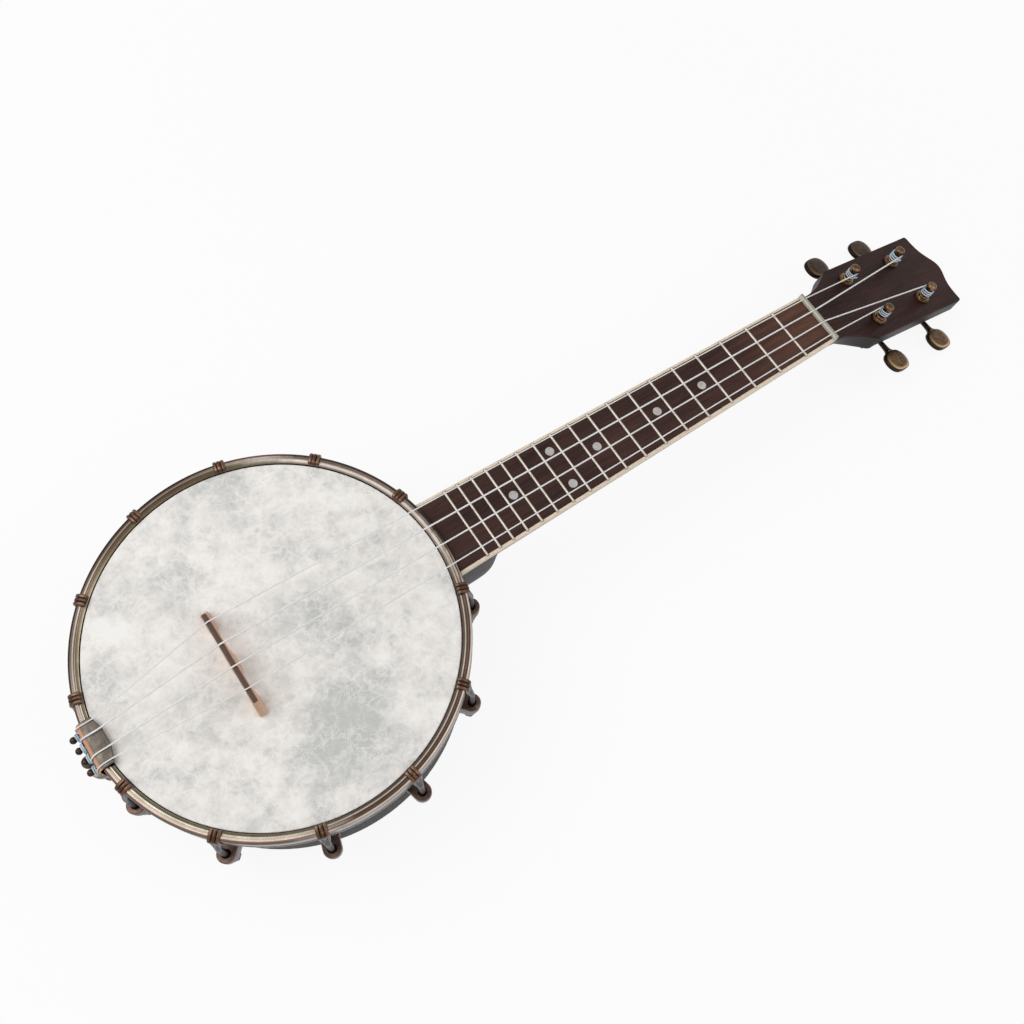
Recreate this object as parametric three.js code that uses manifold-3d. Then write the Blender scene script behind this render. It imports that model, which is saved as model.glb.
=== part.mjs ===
// A concert banjo ukulele lying on its back: an open-backed pot with a tensioned head,
// a bolted-on neck, four geared tuners and four strings that run from the tailpiece to the posts.
// Millimetres. +X runs along the neck to the headstock and +Z is up, out of the head.
// The origin is on the surface the instrument lies on, below the middle of its box.
import * as THREE from 'three';
import { mergeVertices } from 'three/addons/utils/BufferGeometryUtils.js';
import Module from 'manifold-3d';

const wasm = await Module();
wasm.setup();

// Fits shared by the whole instrument
const clearance = 0.3;
const glueLine = 0.2;
const overrun = 2;

// Strings and scale
const scaleLength = 381;
const fretCount = 18;
const lastFretMargin = 13.95;
const octaveFrets = 12;
const stringDiameters = [0.7, 0.95, 0.85, 0.7];
const stringSpreadAtBridge = 38.4;
const stringSpreadAtNut = 26.9;
const stringSides = 6;
const windingTurns = 3;
const stepsPerTurn = 24;
const turnSpace = 0.6;
const stringTailLength = 4;
const pinTurnShare = 0.75;

// Drum head
const headThickness = 0.5;
const headBend = 2.6;
const headBendSteps = 2;

// Rim
const rimOuterRadius = 95;
const rimWall = 10;
const rimDepth = 75.5;
const bearingInset = 4.6;
const bearingBevel = 2.4;
const rimEdgeBevel = 1.2;
const ringSegments = 48;

// Tension hoop and flesh hoop
const hoopEase = 0.9;
const hoopWidth = 5.8;
const hoopHeight = 11.2;
const hoopRise = 2.3;
const hoopCrown = 2.2;
const hoopCrownSteps = 4;
const fleshHoopHeight = 4;
const fleshHoopProud = 0.2;
const ledgeSpace = 0.8;

// Hooks, shoes and their nuts
const hookCount = 12;
const neckGapAngle = THREE.MathUtils.degToRad(36);
const hookWidth = 5.8;
const hookThickness = 1.2;
const hookSkirt = 4.2;
const rodRadius = 1.6;
const rodSides = 6;
const rodBendDrop = 29;
const rodLength = 64;
const hookNutRadius = 4.2;
const hookNutHeight = 6;
const hexSides = 6;
const shoeReach = 6.3;
const shoeRadius = 4.8;
const shoeTop = 37;
const shoeHeight = 20;
const shoeArcSteps = 8;
const shoeHoleEase = 0.5;
const shoeBoltRadius = 2.5;
const shoeNutRadius = 4.6;
const shoeNutHeight = 3.4;

// Coordinator rod
const braceRadius = 4;
const braceDrop = 44;
const braceSides = 12;
const studRadius = 3;
const studGrip = 14;
const tailStudGrip = 5;
const tailShoeReach = 9.2;
const tailShoeRadius = 5.2;
const tailShoeHeight = 14;

// Tailpiece
const plateWidth = 26;
const plateThickness = 1.5;
const plateOverlap = 1.8;
const plateBevel = 3;
const flapLength = 17;
const lipWidth = 6.4;
const lipRoundSteps = 6;
const tailBoltHeadRadius = 2.8;
const tailBoltHeadHeight = 2.8;
const tailBoltHeadSteps = 3;
const pinSpacing = 6;
const pinDrop = 4;
const pinRadius = 1.1;
const pinLength = 2.2;
const pinHeadRadius = 2.2;
const pinHeadThickness = 1.2;
const pinSides = 8;

// Bridge
const bridgeHeight = 15;
const bridgeCapHeight = 2;
const bridgeLength = 59;
const bridgeTopLength = 50;
const bridgeBaseThickness = 6;
const bridgeTopThickness = 2.4;
const bridgeFootLength = 9;
const bridgeEndHeight = 5;
const bridgeArchHeight = 7;
const bridgeArchSteps = 8;

// Neck, fingerboard and nut
const neckAngle = THREE.MathUtils.degToRad(3.5);
const boardDropAtPot = 2.1;
const boardThickness = 4.2;
const boardWidthAtNut = 33.6;
const boardWidthAtPot = 44.4;
const bindingWidth = 1.5;
const bindingSink = 0.35;
const fretWidth = 2.2;
const fretHeight = 1;
const fretSink = 0.1;
const fretOverhang = 0.8;
const fretCrownSteps = 4;
const nutThickness = 5;
const nutRise = 2.4;
const stringRiseAtNut = 1.9;
const stringDropOverNut = 0.5;
const neckDepthAtNut = 14;
const neckDepthAtHeel = 16.5;
const neckRoundSteps = 10;
const neckLengthSteps = 6;
const neckInset = 0.3;
const heelLength = 27;
const heelBottom = 50;
const heelCornerShare = 0.5;
const heelFrontSteps = 10;
const heelDepthSteps = 7;
const heelFlatShare = 0.9;

// Headstock
const headTilt = THREE.MathUtils.degToRad(15);
const headFaceDrop = 3.4;
const headLength = 117.5;
const headCrown = 7;
const headShoulder = 30.5;
const headShoulderWidth = 53.6;
const headEndWidth = 55.4;
const headThicknessCore = 9.8;
const veneerThickness = 1.6;
const headCurveSteps = 6;
const voluteShare = 0.6;

// Tuners
const nearPostPlace = 41;
const farPostPlace = 87;
const nearPostSpread = 31.6;
const farPostSpread = 30.4;
const postRadius = 3;
const postWaistRadius = 2.2;
const postWaistBottom = 3.2;
const postWaistHeight = 6.3;
const postCapHeight = 3;
const postSides = 12;
const bushingFlangeRadius = 4.85;
const bushingFlangeHeight = 2.1;
const bushingWall = 1;
const bushingLip = 0.7;
const gearRadius = 8;
const gearThickness = 3;
const gearToothCount = 12;
const toothDepth = 1.1;
const toothShare = 0.4;
const hubHeight = 4.4;
const wormRadius = 3.8;
const wormLength = 7.6;
const housingThickness = 1.4;
const housingWidth = 13;
const lugThickness = 2.4;
const lugMargin = 1.2;
const shaftRadius = 1.6;
const shaftSides = 10;
const buttonLength = 14.6;
const buttonWidth = 18;
const buttonThickness = 4.6;
const buttonReach = 39.2;
const buttonCollarRadius = 2.6;
const buttonCollarLength = 3;
const buttonSteps = 12;

// Colours, with roughness and metalness
const finishes = {
  hoop: [0x8c8070, 0.38, 0.9],
  copper: [0x6e5145, 0.45, 0.85],
  rim: [0x4b4e50, 0.5, 0],
  skin: [0xe9e7e2, 0.6, 0],
  flesh: [0x9c9ea0, 0.4, 0.8],
  steel: [0x8f8d88, 0.35, 0.9],
  tailpiece: [0x87796b, 0.4, 0.9],
  maple: [0xd9b48f, 0.55, 0],
  ebony: [0x2f2624, 0.45, 0],
  neck: [0x43403f, 0.45, 0],
  rosewood: [0x4a332d, 0.5, 0],
  veneer: [0x37292a, 0.4, 0],
  cream: [0xe8d6bb, 0.5, 0],
  bone: [0xdad7c6, 0.5, 0],
  nylon: [0xeeeeec, 0.35, 0],
  brass: [0x6b5436, 0.4, 0.9],
};

// Places worked out from the sizes above
const rimInnerRadius = rimOuterRadius - rimWall;
const bearingRadius = rimOuterRadius - bearingInset;
const collarRadius = bearingRadius + clearance + headThickness;
const hoopInnerRadius = collarRadius + hoopEase;
const hoopOuterRadius = hoopInnerRadius + hoopWidth;
const hoopMidRadius = (hoopInnerRadius + hoopOuterRadius) / 2;
const hoopBottom = hoopRise - hoopHeight;
const fleshHoopTop = hoopBottom - clearance;
const fleshHoopBottom = fleshHoopTop - fleshHoopHeight;
const fleshHoopRadius = hoopOuterRadius + fleshHoopProud;
const ledgeHeight = fleshHoopBottom - ledgeSpace;
const rimTop = -headThickness - clearance;
const facetSag = hoopOuterRadius * (1 - Math.cos(Math.PI / ringSegments));
const hookEase = clearance + facetSag;
const shoeCentre = rimOuterRadius + clearance + shoeReach;
const joinPlace = fleshHoopRadius + clearance;
const bridgePlace = joinPlace + lastFretMargin - scaleLength * 2 ** (-fretCount / octaveFrets);
const nutPlace = (bridgePlace + scaleLength - joinPlace) / Math.cos(neckAngle);
const headStart = nutPlace + nutThickness;
const plateTop = hoopRise + clearance + plateThickness;
const flapInner = -fleshHoopRadius - clearance;
const flapOuter = flapInner - plateThickness;
const tailShoeCentre = rimOuterRadius + clearance + tailShoeReach;
const gearOffset = gearRadius + wormRadius + clearance;
const headBack = -veneerThickness - glueLine - headThicknessCore;
const housingTop = headBack - clearance;
const housingBottom = housingTop - housingThickness;
const gearTop = housingBottom - hubHeight;
const wormHeight = gearTop - gearThickness / 2;

// Frames of the neck and of the headstock, seen from the pot
const neckFrame = new THREE.Matrix4()
  .makeTranslation(joinPlace, 0, -boardDropAtPot)
  .multiply(new THREE.Matrix4().makeRotationY(neckAngle));
const headInNeck = new THREE.Matrix4()
  .makeTranslation(headStart, 0, -headFaceDrop)
  .multiply(new THREE.Matrix4().makeRotationY(headTilt));
const headFrame = neckFrame.clone().multiply(headInNeck);
const onHead = (x, y, z) => new THREE.Vector3(x, y, z).applyMatrix4(headFrame);

// Turns a geometry inside out when its faces point inwards
function outward(geometry) {
  const place = geometry.attributes.position;
  const index = geometry.index.array;
  const [a, b, c] = [new THREE.Vector3(), new THREE.Vector3(), new THREE.Vector3()];
  let volume = 0;
  for (let i = 0; i < index.length; i += 3) {
    a.fromBufferAttribute(place, index[i]);
    b.fromBufferAttribute(place, index[i + 1]);
    c.fromBufferAttribute(place, index[i + 2]);
    volume += a.dot(b.cross(c));
  }
  if (volume > 0) return geometry;
  for (let i = 0; i < index.length; i += 3) {
    [index[i], index[i + 1]] = [index[i + 1], index[i]];
  }
  return geometry;
}

// Welds a geometry's corners and drops the faces that have no area
function welded(geometry) {
  const bare = geometry.clone();
  bare.deleteAttribute('normal');
  bare.deleteAttribute('uv');
  const merged = mergeVertices(bare);
  const kept = [];
  const index = merged.index.array;
  for (let i = 0; i < index.length; i += 3) {
    const [a, b, c] = [index[i], index[i + 1], index[i + 2]];
    if (a !== b && b !== c && c !== a) kept.push(a, b, c);
  }
  merged.setIndex(kept);
  return outward(merged);
}

function toSolid(geometry) {
  const { attributes, index } = welded(geometry);
  return new wasm.Manifold(new wasm.Mesh({
    numProp: 3,
    vertProperties: new Float32Array(attributes.position.array),
    triVerts: new Uint32Array(index.array),
  }));
}

function fromSolid(solid) {
  const mesh = solid.getMesh();
  const geometry = new THREE.BufferGeometry();
  geometry.setAttribute('position', new THREE.BufferAttribute(mesh.vertProperties, 3));
  geometry.setIndex(new THREE.BufferAttribute(mesh.triVerts, 1));
  geometry.computeVertexNormals();
  return geometry;
}

function join(...geometries) {
  return fromSolid(geometries.map(toSolid).reduce((all, one) => all.add(one)));
}

function cut(base, ...tools) {
  return fromSolid(tools.map(toSolid).reduce((rest, tool) => rest.subtract(tool), toSolid(base)));
}

// A solid of revolution round Z from [radius, height] pairs
function lathe(pairs) {
  const profile = pairs.map(([radius, height]) => new THREE.Vector2(radius, height));
  return welded(new THREE.LatheGeometry(profile, ringSegments).rotateX(Math.PI / 2));
}

function ring(pairs) {
  return lathe([...pairs, pairs[0]]);
}

// A cylinder, or a prism with few sides, that runs from the origin along +Z
function post(radius, length, sides) {
  return new THREE.CylinderGeometry(radius, radius, length, sides)
    .rotateX(Math.PI / 2)
    .translate(0, 0, length / 2);
}

// The same cylinder laid along +X or +Y
const alongX = (geometry) => geometry.rotateY(Math.PI / 2);
const alongY = (geometry) => geometry.rotateX(-Math.PI / 2);

// An outline of [x, y] pairs raised to a depth along +Z
function slab(pairs, depth, steps = 1) {
  const shape = new THREE.Shape(pairs.map(([x, y]) => new THREE.Vector2(x, y)));
  return new THREE.ExtrudeGeometry(shape, { depth, steps, bevelEnabled: false });
}

// A side view of [x, z] pairs, as wide as given and centred on the XZ plane
function sideSlab(pairs, width, steps = 1) {
  return slab(pairs, width, steps).rotateX(Math.PI / 2).translate(0, width / 2, 0);
}

// Moves each corner of a geometry by a rule
function shaped(geometry, rule) {
  const result = geometry.clone();
  const place = result.attributes.position;
  const corner = new THREE.Vector3();
  for (let i = 0; i < place.count; i += 1) {
    corner.fromBufferAttribute(place, i);
    rule(corner);
    place.setXYZ(i, corner.x, corner.y, corner.z);
  }
  return result;
}

// A closed round tube through a list of points
function tube(points, radius, sides) {
  const last = points.length - 1;
  const direction = (i) => new THREE.Vector3().subVectors(points[i + 1], points[i]).normalize();
  const corners = [];
  let normal = new THREE.Vector3(0, 0, 1);
  points.forEach((point, i) => {
    const tangent = direction(Math.min(i, last - 1)).add(direction(Math.max(i - 1, 0))).normalize();
    normal = normal.clone().addScaledVector(tangent, -normal.dot(tangent));
    if (normal.length() < tangent.length() / sides) normal.set(tangent.z, tangent.x, tangent.y).cross(tangent);
    normal.normalize();
    const other = new THREE.Vector3().crossVectors(tangent, normal);
    for (let k = 0; k < sides; k += 1) {
      const angle = 2 * Math.PI * k / sides;
      corners.push(point.clone()
        .addScaledVector(normal, radius * Math.cos(angle))
        .addScaledVector(other, radius * Math.sin(angle)));
    }
  });
  const faces = [];
  for (let i = 0; i < last; i += 1) {
    for (let k = 0; k < sides; k += 1) {
      const [a, b] = [i * sides + k, i * sides + (k + 1) % sides];
      faces.push(a, b, a + sides, b, b + sides, a + sides);
    }
  }
  for (let k = 1; k < sides - 1; k += 1) {
    faces.push(0, k + 1, k);
    faces.push(last * sides, last * sides + k, last * sides + k + 1);
  }
  const geometry = new THREE.BufferGeometry().setFromPoints(corners);
  geometry.setIndex(faces);
  outward(geometry);
  geometry.computeVertexNormals();
  return geometry;
}

// Points of a half ellipse from -X over +Z to +X
function halfEllipse(centreX, centreZ, radiusX, radiusZ, steps) {
  return Array.from({ length: steps + 1 }, (_, i) => {
    const angle = Math.PI * (1 - i / steps);
    return [centreX + radiusX * Math.cos(angle), centreZ + radiusZ * Math.sin(angle)];
  });
}

// Points of a quarter turn from one angle to the next, in quarters
function corner(centreX, centreY, radius, fromQuarter, steps) {
  return Array.from({ length: steps + 1 }, (_, i) => {
    const angle = (fromQuarter + i / steps) * Math.PI / 2;
    return [centreX + radius * Math.cos(angle), centreY + radius * Math.sin(angle)];
  });
}

const instrument = new THREE.Group();
const neckGroup = new THREE.Group();
neckGroup.position.set(joinPlace, 0, -boardDropAtPot);
neckGroup.rotation.y = neckAngle;
const headGroup = new THREE.Group();
headGroup.position.set(headStart, 0, -headFaceDrop);
headGroup.rotation.y = headTilt;
neckGroup.add(headGroup);
instrument.add(neckGroup);

function addPiece(group, name, geometry, finish) {
  const [color, roughness, metalness] = finishes[finish];
  const mesh = new THREE.Mesh(geometry, new THREE.MeshStandardMaterial({ color, roughness, metalness }));
  mesh.name = name;
  group.add(mesh);
  return mesh;
}

const pad = (number) => String(number).padStart(2, '0');

// The angle of each hook round the pot, evenly spaced from one side of the neck to the other
const hookAngles = Array.from({ length: hookCount }, (_, i) => (
  neckGapAngle / 2 + i * (2 * Math.PI - neckGapAngle) / (hookCount - 1)
));

// Pot

function rimHole(radius, angle, drop, sides) {
  return alongX(post(radius, 2 * overrun + rimOuterRadius - rimInnerRadius, sides))
    .translate(rimInnerRadius - overrun, 0, -drop)
    .rotateZ(angle);
}

function makeRim() {
  const body = ring([
    [rimInnerRadius, -rimDepth + rimEdgeBevel],
    [rimInnerRadius + rimEdgeBevel, -rimDepth],
    [rimOuterRadius - rimEdgeBevel, -rimDepth],
    [rimOuterRadius, -rimDepth + rimEdgeBevel],
    [rimOuterRadius, ledgeHeight],
    [bearingRadius, ledgeHeight],
    [bearingRadius, rimTop - bearingBevel],
    [bearingRadius - bearingBevel, rimTop],
    [rimInnerRadius, rimTop - bearingBevel],
  ]);
  const shoeHoles = hookAngles.map((angle) => (
    rimHole(shoeBoltRadius + clearance, angle, shoeTop + shoeHeight / 2, rodSides)
  ));
  const studHoles = [0, Math.PI].map((angle) => (
    rimHole(studRadius + clearance, angle, braceDrop, braceSides)
  ));
  return cut(body, ...shoeHoles, ...studHoles);
}

function makeHead() {
  const flat = collarRadius - headBend;
  const bend = (radius) => corner(flat, -headBend, radius, 0, headBendSteps);
  const collarBottom = fleshHoopBottom + headThickness;
  return lathe([
    [0, -headThickness],
    ...bend(headBend - headThickness).reverse(),
    [collarRadius - headThickness, collarBottom],
    [collarRadius, collarBottom],
    ...bend(headBend),
    [0, 0],
  ]);
}

function makeFleshHoop() {
  return ring([
    [collarRadius + clearance, fleshHoopBottom],
    [fleshHoopRadius, fleshHoopBottom],
    [fleshHoopRadius, fleshHoopTop],
    [collarRadius + clearance, fleshHoopTop],
  ]);
}

function makeTensionHoop() {
  const crown = halfEllipse(hoopMidRadius, hoopRise - hoopCrown, hoopWidth / 2, hoopCrown, hoopCrownSteps);
  return ring([[hoopInnerRadius, hoopBottom], ...crown, [hoopOuterRadius, hoopBottom]]);
}

// One hook, with its nut, at angle zero
function makeHook() {
  const crownHeight = hoopRise - hoopCrown;
  const arch = (grow) => halfEllipse(
    hoopMidRadius,
    crownHeight,
    hoopWidth / 2 + hookEase + grow,
    hoopCrown + clearance + grow,
    hoopCrownSteps,
  );
  const outside = hoopOuterRadius + hookEase;
  const skirtBottom = crownHeight - hookSkirt;
  const claw = sideSlab([
    ...arch(hookThickness),
    [outside + hookThickness, skirtBottom],
    [outside, skirtBottom],
    ...arch(0).reverse(),
  ], hookWidth);
  const rodTop = outside + rodRadius;
  const rod = tube([
    new THREE.Vector3(rodTop, 0, crownHeight - clearance),
    new THREE.Vector3(rodTop, 0, skirtBottom),
    new THREE.Vector3(shoeCentre, 0, skirtBottom - rodBendDrop),
    new THREE.Vector3(shoeCentre, 0, -rodLength),
  ], rodRadius, rodSides);
  const nut = post(hookNutRadius, hookNutHeight, hexSides)
    .translate(shoeCentre, 0, -shoeTop - shoeHeight - clearance - hookNutHeight);
  return join(claw, rod, nut);
}

// The body of a shoe at angle zero: a round-ended lug against the rim, with a hole for its rod
function makeLug(centre, radius, height) {
  const back = rimOuterRadius + clearance;
  const outline = new THREE.Shape([
    [back, -radius],
    ...corner(centre, 0, radius, -1, shoeArcSteps / 2),
    ...corner(centre, 0, radius, 0, shoeArcSteps / 2).slice(1),
    [back, radius],
  ].map(([x, y]) => new THREE.Vector2(x, y)));
  const hole = new THREE.Path();
  hole.absarc(centre, 0, rodRadius + shoeHoleEase, 0, 2 * Math.PI, true);
  outline.holes.push(hole);
  const options = { depth: height, bevelEnabled: false, curveSegments: shoeArcSteps };
  return new THREE.ExtrudeGeometry(outline, options).translate(0, 0, -shoeTop - height);
}

// One shoe, with its bolt through the rim and the nut inside, at angle zero
function makeShoe() {
  const body = makeLug(shoeCentre, shoeRadius, shoeHeight);
  const boltDrop = shoeTop + shoeHeight / 2;
  const nutStart = rimInnerRadius - clearance - shoeNutHeight;
  const boltEnd = rimOuterRadius + 2 * clearance;
  const bolt = alongX(post(shoeBoltRadius, boltEnd - nutStart, rodSides)).translate(nutStart, 0, -boltDrop);
  const nut = alongX(post(shoeNutRadius, shoeNutHeight, hexSides)).translate(nutStart, 0, -boltDrop);
  return join(body, bolt, nut);
}

function makeBrace() {
  const inside = rimInnerRadius - clearance;
  const tail = rimOuterRadius + clearance + tailStudGrip;
  const neckEnd = rimOuterRadius + studGrip;
  const brace = alongX(post(braceRadius, 2 * inside, braceSides)).translate(-inside, 0, -braceDrop);
  const stud = alongX(post(studRadius, tail + neckEnd, braceSides)).translate(-tail, 0, -braceDrop);
  return join(brace, stud);
}

// The shoe at the tail, which the rod's stud is screwed into
function makeTailShoe() {
  const bore = alongX(post(studRadius + clearance, tailStudGrip + clearance + overrun, braceSides))
    .translate(rimOuterRadius + clearance - overrun, 0, -braceDrop);
  return cut(makeLug(tailShoeCentre, tailShoeRadius, tailShoeHeight), bore);
}

// The bolt that draws the tailpiece down to its shoe, with its domed head and its nut
function makeTailBolt() {
  const seat = -flapLength + clearance;
  const end = -shoeTop - tailShoeHeight - clearance - hookNutHeight;
  const dome = corner(0, seat, 1, 0, tailBoltHeadSteps)
    .map(([x, z]) => [x * tailBoltHeadRadius, seat + (z - seat) * tailBoltHeadHeight]);
  dome[tailBoltHeadSteps][0] = 0;
  const head = new THREE.LatheGeometry(
    [[0, seat], ...dome].map(([x, z]) => new THREE.Vector2(x, z)),
    braceSides,
  ).rotateX(Math.PI / 2);
  const shank = post(rodRadius, seat - end, rodSides).translate(0, 0, end);
  const nut = post(hookNutRadius, hookNutHeight, hexSides).translate(0, 0, end);
  return join(head, shank, nut).translate(tailShoeCentre, 0, 0);
}

function makeTailpiece() {
  const top = plateTop;
  const lip = -hoopInnerRadius + plateOverlap;
  const under = top - plateThickness;
  const folded = sideSlab([
    [lip, under],
    [lip, top],
    [flapOuter + plateBevel, top],
    [flapOuter, top - plateBevel],
    [flapOuter, -flapLength - plateThickness],
    [flapInner, -flapLength - plateThickness],
    [flapInner, under - plateBevel / 2],
    [flapInner + plateBevel / 2, under],
  ], plateWidth);
  const half = lipWidth / 2;
  const foot = slab([
    [-flapOuter - plateThickness / 2, -half],
    ...corner(tailShoeCentre, 0, half, -1, lipRoundSteps / 2),
    ...corner(tailShoeCentre, 0, half, 0, lipRoundSteps / 2).slice(1),
    [-flapOuter - plateThickness / 2, half],
  ], plateThickness).rotateZ(Math.PI).translate(0, 0, -flapLength - plateThickness);
  const pins = pinPlaces.map((y) => join(
    alongX(post(pinRadius, pinLength + plateThickness / 2, pinSides))
      .translate(flapOuter - pinLength, y, -pinDrop),
    alongX(post(pinHeadRadius, pinHeadThickness, pinSides))
      .translate(flapOuter - pinLength - pinHeadThickness / 2, y, -pinDrop),
  ));
  const boltHole = post(rodRadius + clearance, plateThickness + 2 * overrun, rodSides)
    .translate(-tailShoeCentre, 0, -flapLength - plateThickness - overrun);
  return cut(join(folded, foot, ...pins), boltHole);
}

// Strings: their heights and places across the instrument
const stringShares = stringDiameters.map((_, i) => i / (stringDiameters.length - 1) - 1 / 2);
const pinPlaces = stringDiameters.map((_, i) => ((stringDiameters.length - 1) / 2 - i) * pinSpacing);
const stringCentreAtBridge = bridgeHeight + clearance + Math.max(...stringDiameters) / 2;

function postPlaceOf(i) {
  const outer = i === 0 || i === stringDiameters.length - 1;
  const side = i < stringDiameters.length / 2 ? 1 : -1;
  return {
    side,
    along: outer ? nearPostPlace : farPostPlace,
    across: side * (outer ? nearPostSpread : farPostSpread) / 2,
  };
}

// Where a string crosses the bridge, in the pot's frame
const bridgePoint = (i) => (
  new THREE.Vector3(bridgePlace, -stringSpreadAtBridge * stringShares[i], stringCentreAtBridge)
);

// Where a string meets, crosses and leaves the nut, in the neck's frame
function nutPoints(i) {
  const y = -stringSpreadAtNut * stringShares[i];
  return [
    new THREE.Vector3(nutPlace, y, stringRiseAtNut),
    new THREE.Vector3(nutPlace + nutThickness / 2, y, stringRiseAtNut),
    new THREE.Vector3(headStart, y, stringRiseAtNut - stringDropOverNut),
  ];
}

// Turns round a post, from the point where the string arrives, downwards
function postTurns(i) {
  const { side, along, across } = postPlaceOf(i);
  const radius = stringDiameters[i] / 2;
  const arrivesFrom = nutPoints(i).at(-1).applyMatrix4(headInNeck.clone().invert());
  const winding = postWaistRadius + clearance + radius;
  const heading = Math.atan2(across - arrivesFrom.y, along - arrivesFrom.x);
  const distance = Math.hypot(across - arrivesFrom.y, along - arrivesFrom.x);
  const start = heading + Math.PI + side * Math.acos(winding / distance);
  const top = postWaistBottom + postWaistHeight - clearance - radius;
  const pitch = 2 * radius + turnSpace;
  const steps = Math.round(windingTurns * stepsPerTurn);
  return Array.from({ length: steps + 1 }, (_, k) => {
    const turn = k / stepsPerTurn;
    const angle = start + side * 2 * Math.PI * turn;
    return new THREE.Vector3(
      along + winding * Math.cos(angle),
      across + winding * Math.sin(angle),
      top - pitch * turn,
    );
  });
}

// How far from the middle of its pin a string leaves, always on the side away from the middle string gap
function pinSide(i) {
  const { side } = postPlaceOf(i);
  return side * (pinRadius + clearance + stringDiameters[i] / 2);
}

// Most of a turn round a tailpiece pin, ending where the string leaves it upwards
function pinTurns(i, radius) {
  const loop = pinSide(i);
  const start = flapOuter - clearance - radius;
  const steps = Math.round(pinTurnShare * stepsPerTurn);
  return Array.from({ length: steps + 1 }, (_, k) => {
    const angle = -2 * Math.PI * pinTurnShare * (1 - k / steps);
    return new THREE.Vector3(
      start,
      pinPlaces[i] + loop * Math.cos(angle),
      -pinDrop + Math.abs(loop) * Math.sin(angle),
    );
  });
}

function stringRoute(i) {
  const radius = stringDiameters[i] / 2;
  const acrossPin = pinPlaces[i] + pinSide(i);
  const overPlate = plateTop + clearance + radius;
  const [overTop, overSlope, overSide] = corner(0, 0, clearance + radius, 1, 2);
  const turns = postTurns(i);
  const last = turns.at(-1);
  const away = last.clone().sub(turns.at(-2)).normalize();
  const tail = last.clone().addScaledVector(away, stringTailLength);
  return [
    ...pinTurns(i, radius),
    new THREE.Vector3(flapOuter + overSide[0], acrossPin, plateTop - plateBevel + overSide[1]),
    new THREE.Vector3(flapOuter + overSlope[0], acrossPin, plateTop - plateBevel + overSlope[1]),
    new THREE.Vector3(flapOuter + plateBevel + overSlope[0], acrossPin, plateTop + overSlope[1]),
    new THREE.Vector3(flapOuter + plateBevel + overTop[0], acrossPin, plateTop + overTop[1]),
    new THREE.Vector3(-hoopInnerRadius + plateOverlap, acrossPin, overPlate),
    bridgePoint(i),
    ...nutPoints(i).map((point) => point.applyMatrix4(neckFrame)),
    ...turns.map((point) => point.clone().applyMatrix4(headFrame)),
    tail.applyMatrix4(headFrame),
  ];
}

// Least space between the surfaces of a string's own turns
function leastTurnGap(route, diameter) {
  let least = Infinity;
  route.forEach((point, i) => {
    for (let k = i + stepsPerTurn / 2; k < route.length; k += 1) {
      least = Math.min(least, point.distanceTo(route[k]));
    }
  });
  return least - diameter;
}

// Bridge

const bridgeArch = (centre, halfWidth) => (
  halfEllipse(centre, 0, halfWidth, bridgeArchHeight, bridgeArchSteps)
);

function makeBridgeBody() {
  const half = bridgeLength / 2;
  const topHalf = bridgeTopLength / 2;
  const top = bridgeHeight - bridgeCapHeight - glueLine - clearance;
  const archHalf = (bridgeLength - 3 * bridgeFootLength) / 4;
  const archCentre = (bridgeFootLength + 2 * archHalf) / 2;
  const outline = [
    [-half, 0],
    ...bridgeArch(-archCentre, archHalf),
    ...bridgeArch(archCentre, archHalf),
    [half, 0],
    [half, bridgeEndHeight],
    [topHalf, top],
    [-topHalf, top],
    [-half, bridgeEndHeight],
  ];
  const plain = slab(outline, bridgeBaseThickness)
    .translate(0, 0, -bridgeBaseThickness / 2)
    .rotateX(Math.PI / 2)
    .rotateZ(Math.PI / 2)
    .translate(0, 0, clearance);
  const taper = (height) => THREE.MathUtils.lerp(1, bridgeTopThickness / bridgeBaseThickness, height / top);
  const thinned = shaped(plain, (point) => {
    point.x *= taper(Math.max(point.z - clearance, 0));
  });
  return welded(thinned).translate(bridgePlace, 0, 0);
}

function makeBridgeCap() {
  const cap = new THREE.BoxGeometry(bridgeTopThickness, bridgeTopLength, bridgeCapHeight)
    .translate(bridgePlace, 0, bridgeHeight - bridgeCapHeight / 2);
  return cap;
}

// Neck

const boardHalfWidth = (x) => (
  THREE.MathUtils.lerp(boardWidthAtPot, boardWidthAtNut, x / nutPlace) / 2
);

// The pot's own space in the neck's frame, which the neck's end is cut to
function potSpace(extra) {
  const radius = fleshHoopRadius + extra;
  const wall = rimOuterRadius + extra;
  const space = lathe([
    [0, -rimDepth - overrun],
    [wall, -rimDepth - overrun],
    [wall, ledgeHeight - extra],
    [radius, ledgeHeight - extra],
    [radius, hoopRise + overrun],
    [0, hoopRise + overrun],
  ]);
  return space.applyMatrix4(neckFrame.clone().invert());
}

function makeFingerboard() {
  const start = -rimOuterRadius / 4;
  const inset = bindingWidth + glueLine;
  const end = nutPlace - glueLine;
  const board = slab([
    [start, -boardHalfWidth(start) + inset],
    [end, -boardHalfWidth(end) + inset],
    [end, boardHalfWidth(end) - inset],
    [start, boardHalfWidth(start) - inset],
  ], boardThickness - glueLine).translate(0, 0, -boardThickness + glueLine);
  const frets = Array.from({ length: fretCount }, (_, i) => makeFret(i + 1));
  return join(cut(board, potSpace(clearance)), ...frets);
}

const fretPlace = (n) => nutPlace - scaleLength * (1 - 2 ** (-n / octaveFrets));

function makeFret(n) {
  const place = fretPlace(n);
  const length = 2 * (boardHalfWidth(place) - bindingWidth + fretOverhang);
  const half = fretWidth / 2;
  const crown = halfEllipse(place, -fretSink, half, fretHeight + fretSink, fretCrownSteps);
  return sideSlab(crown, length);
}

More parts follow.
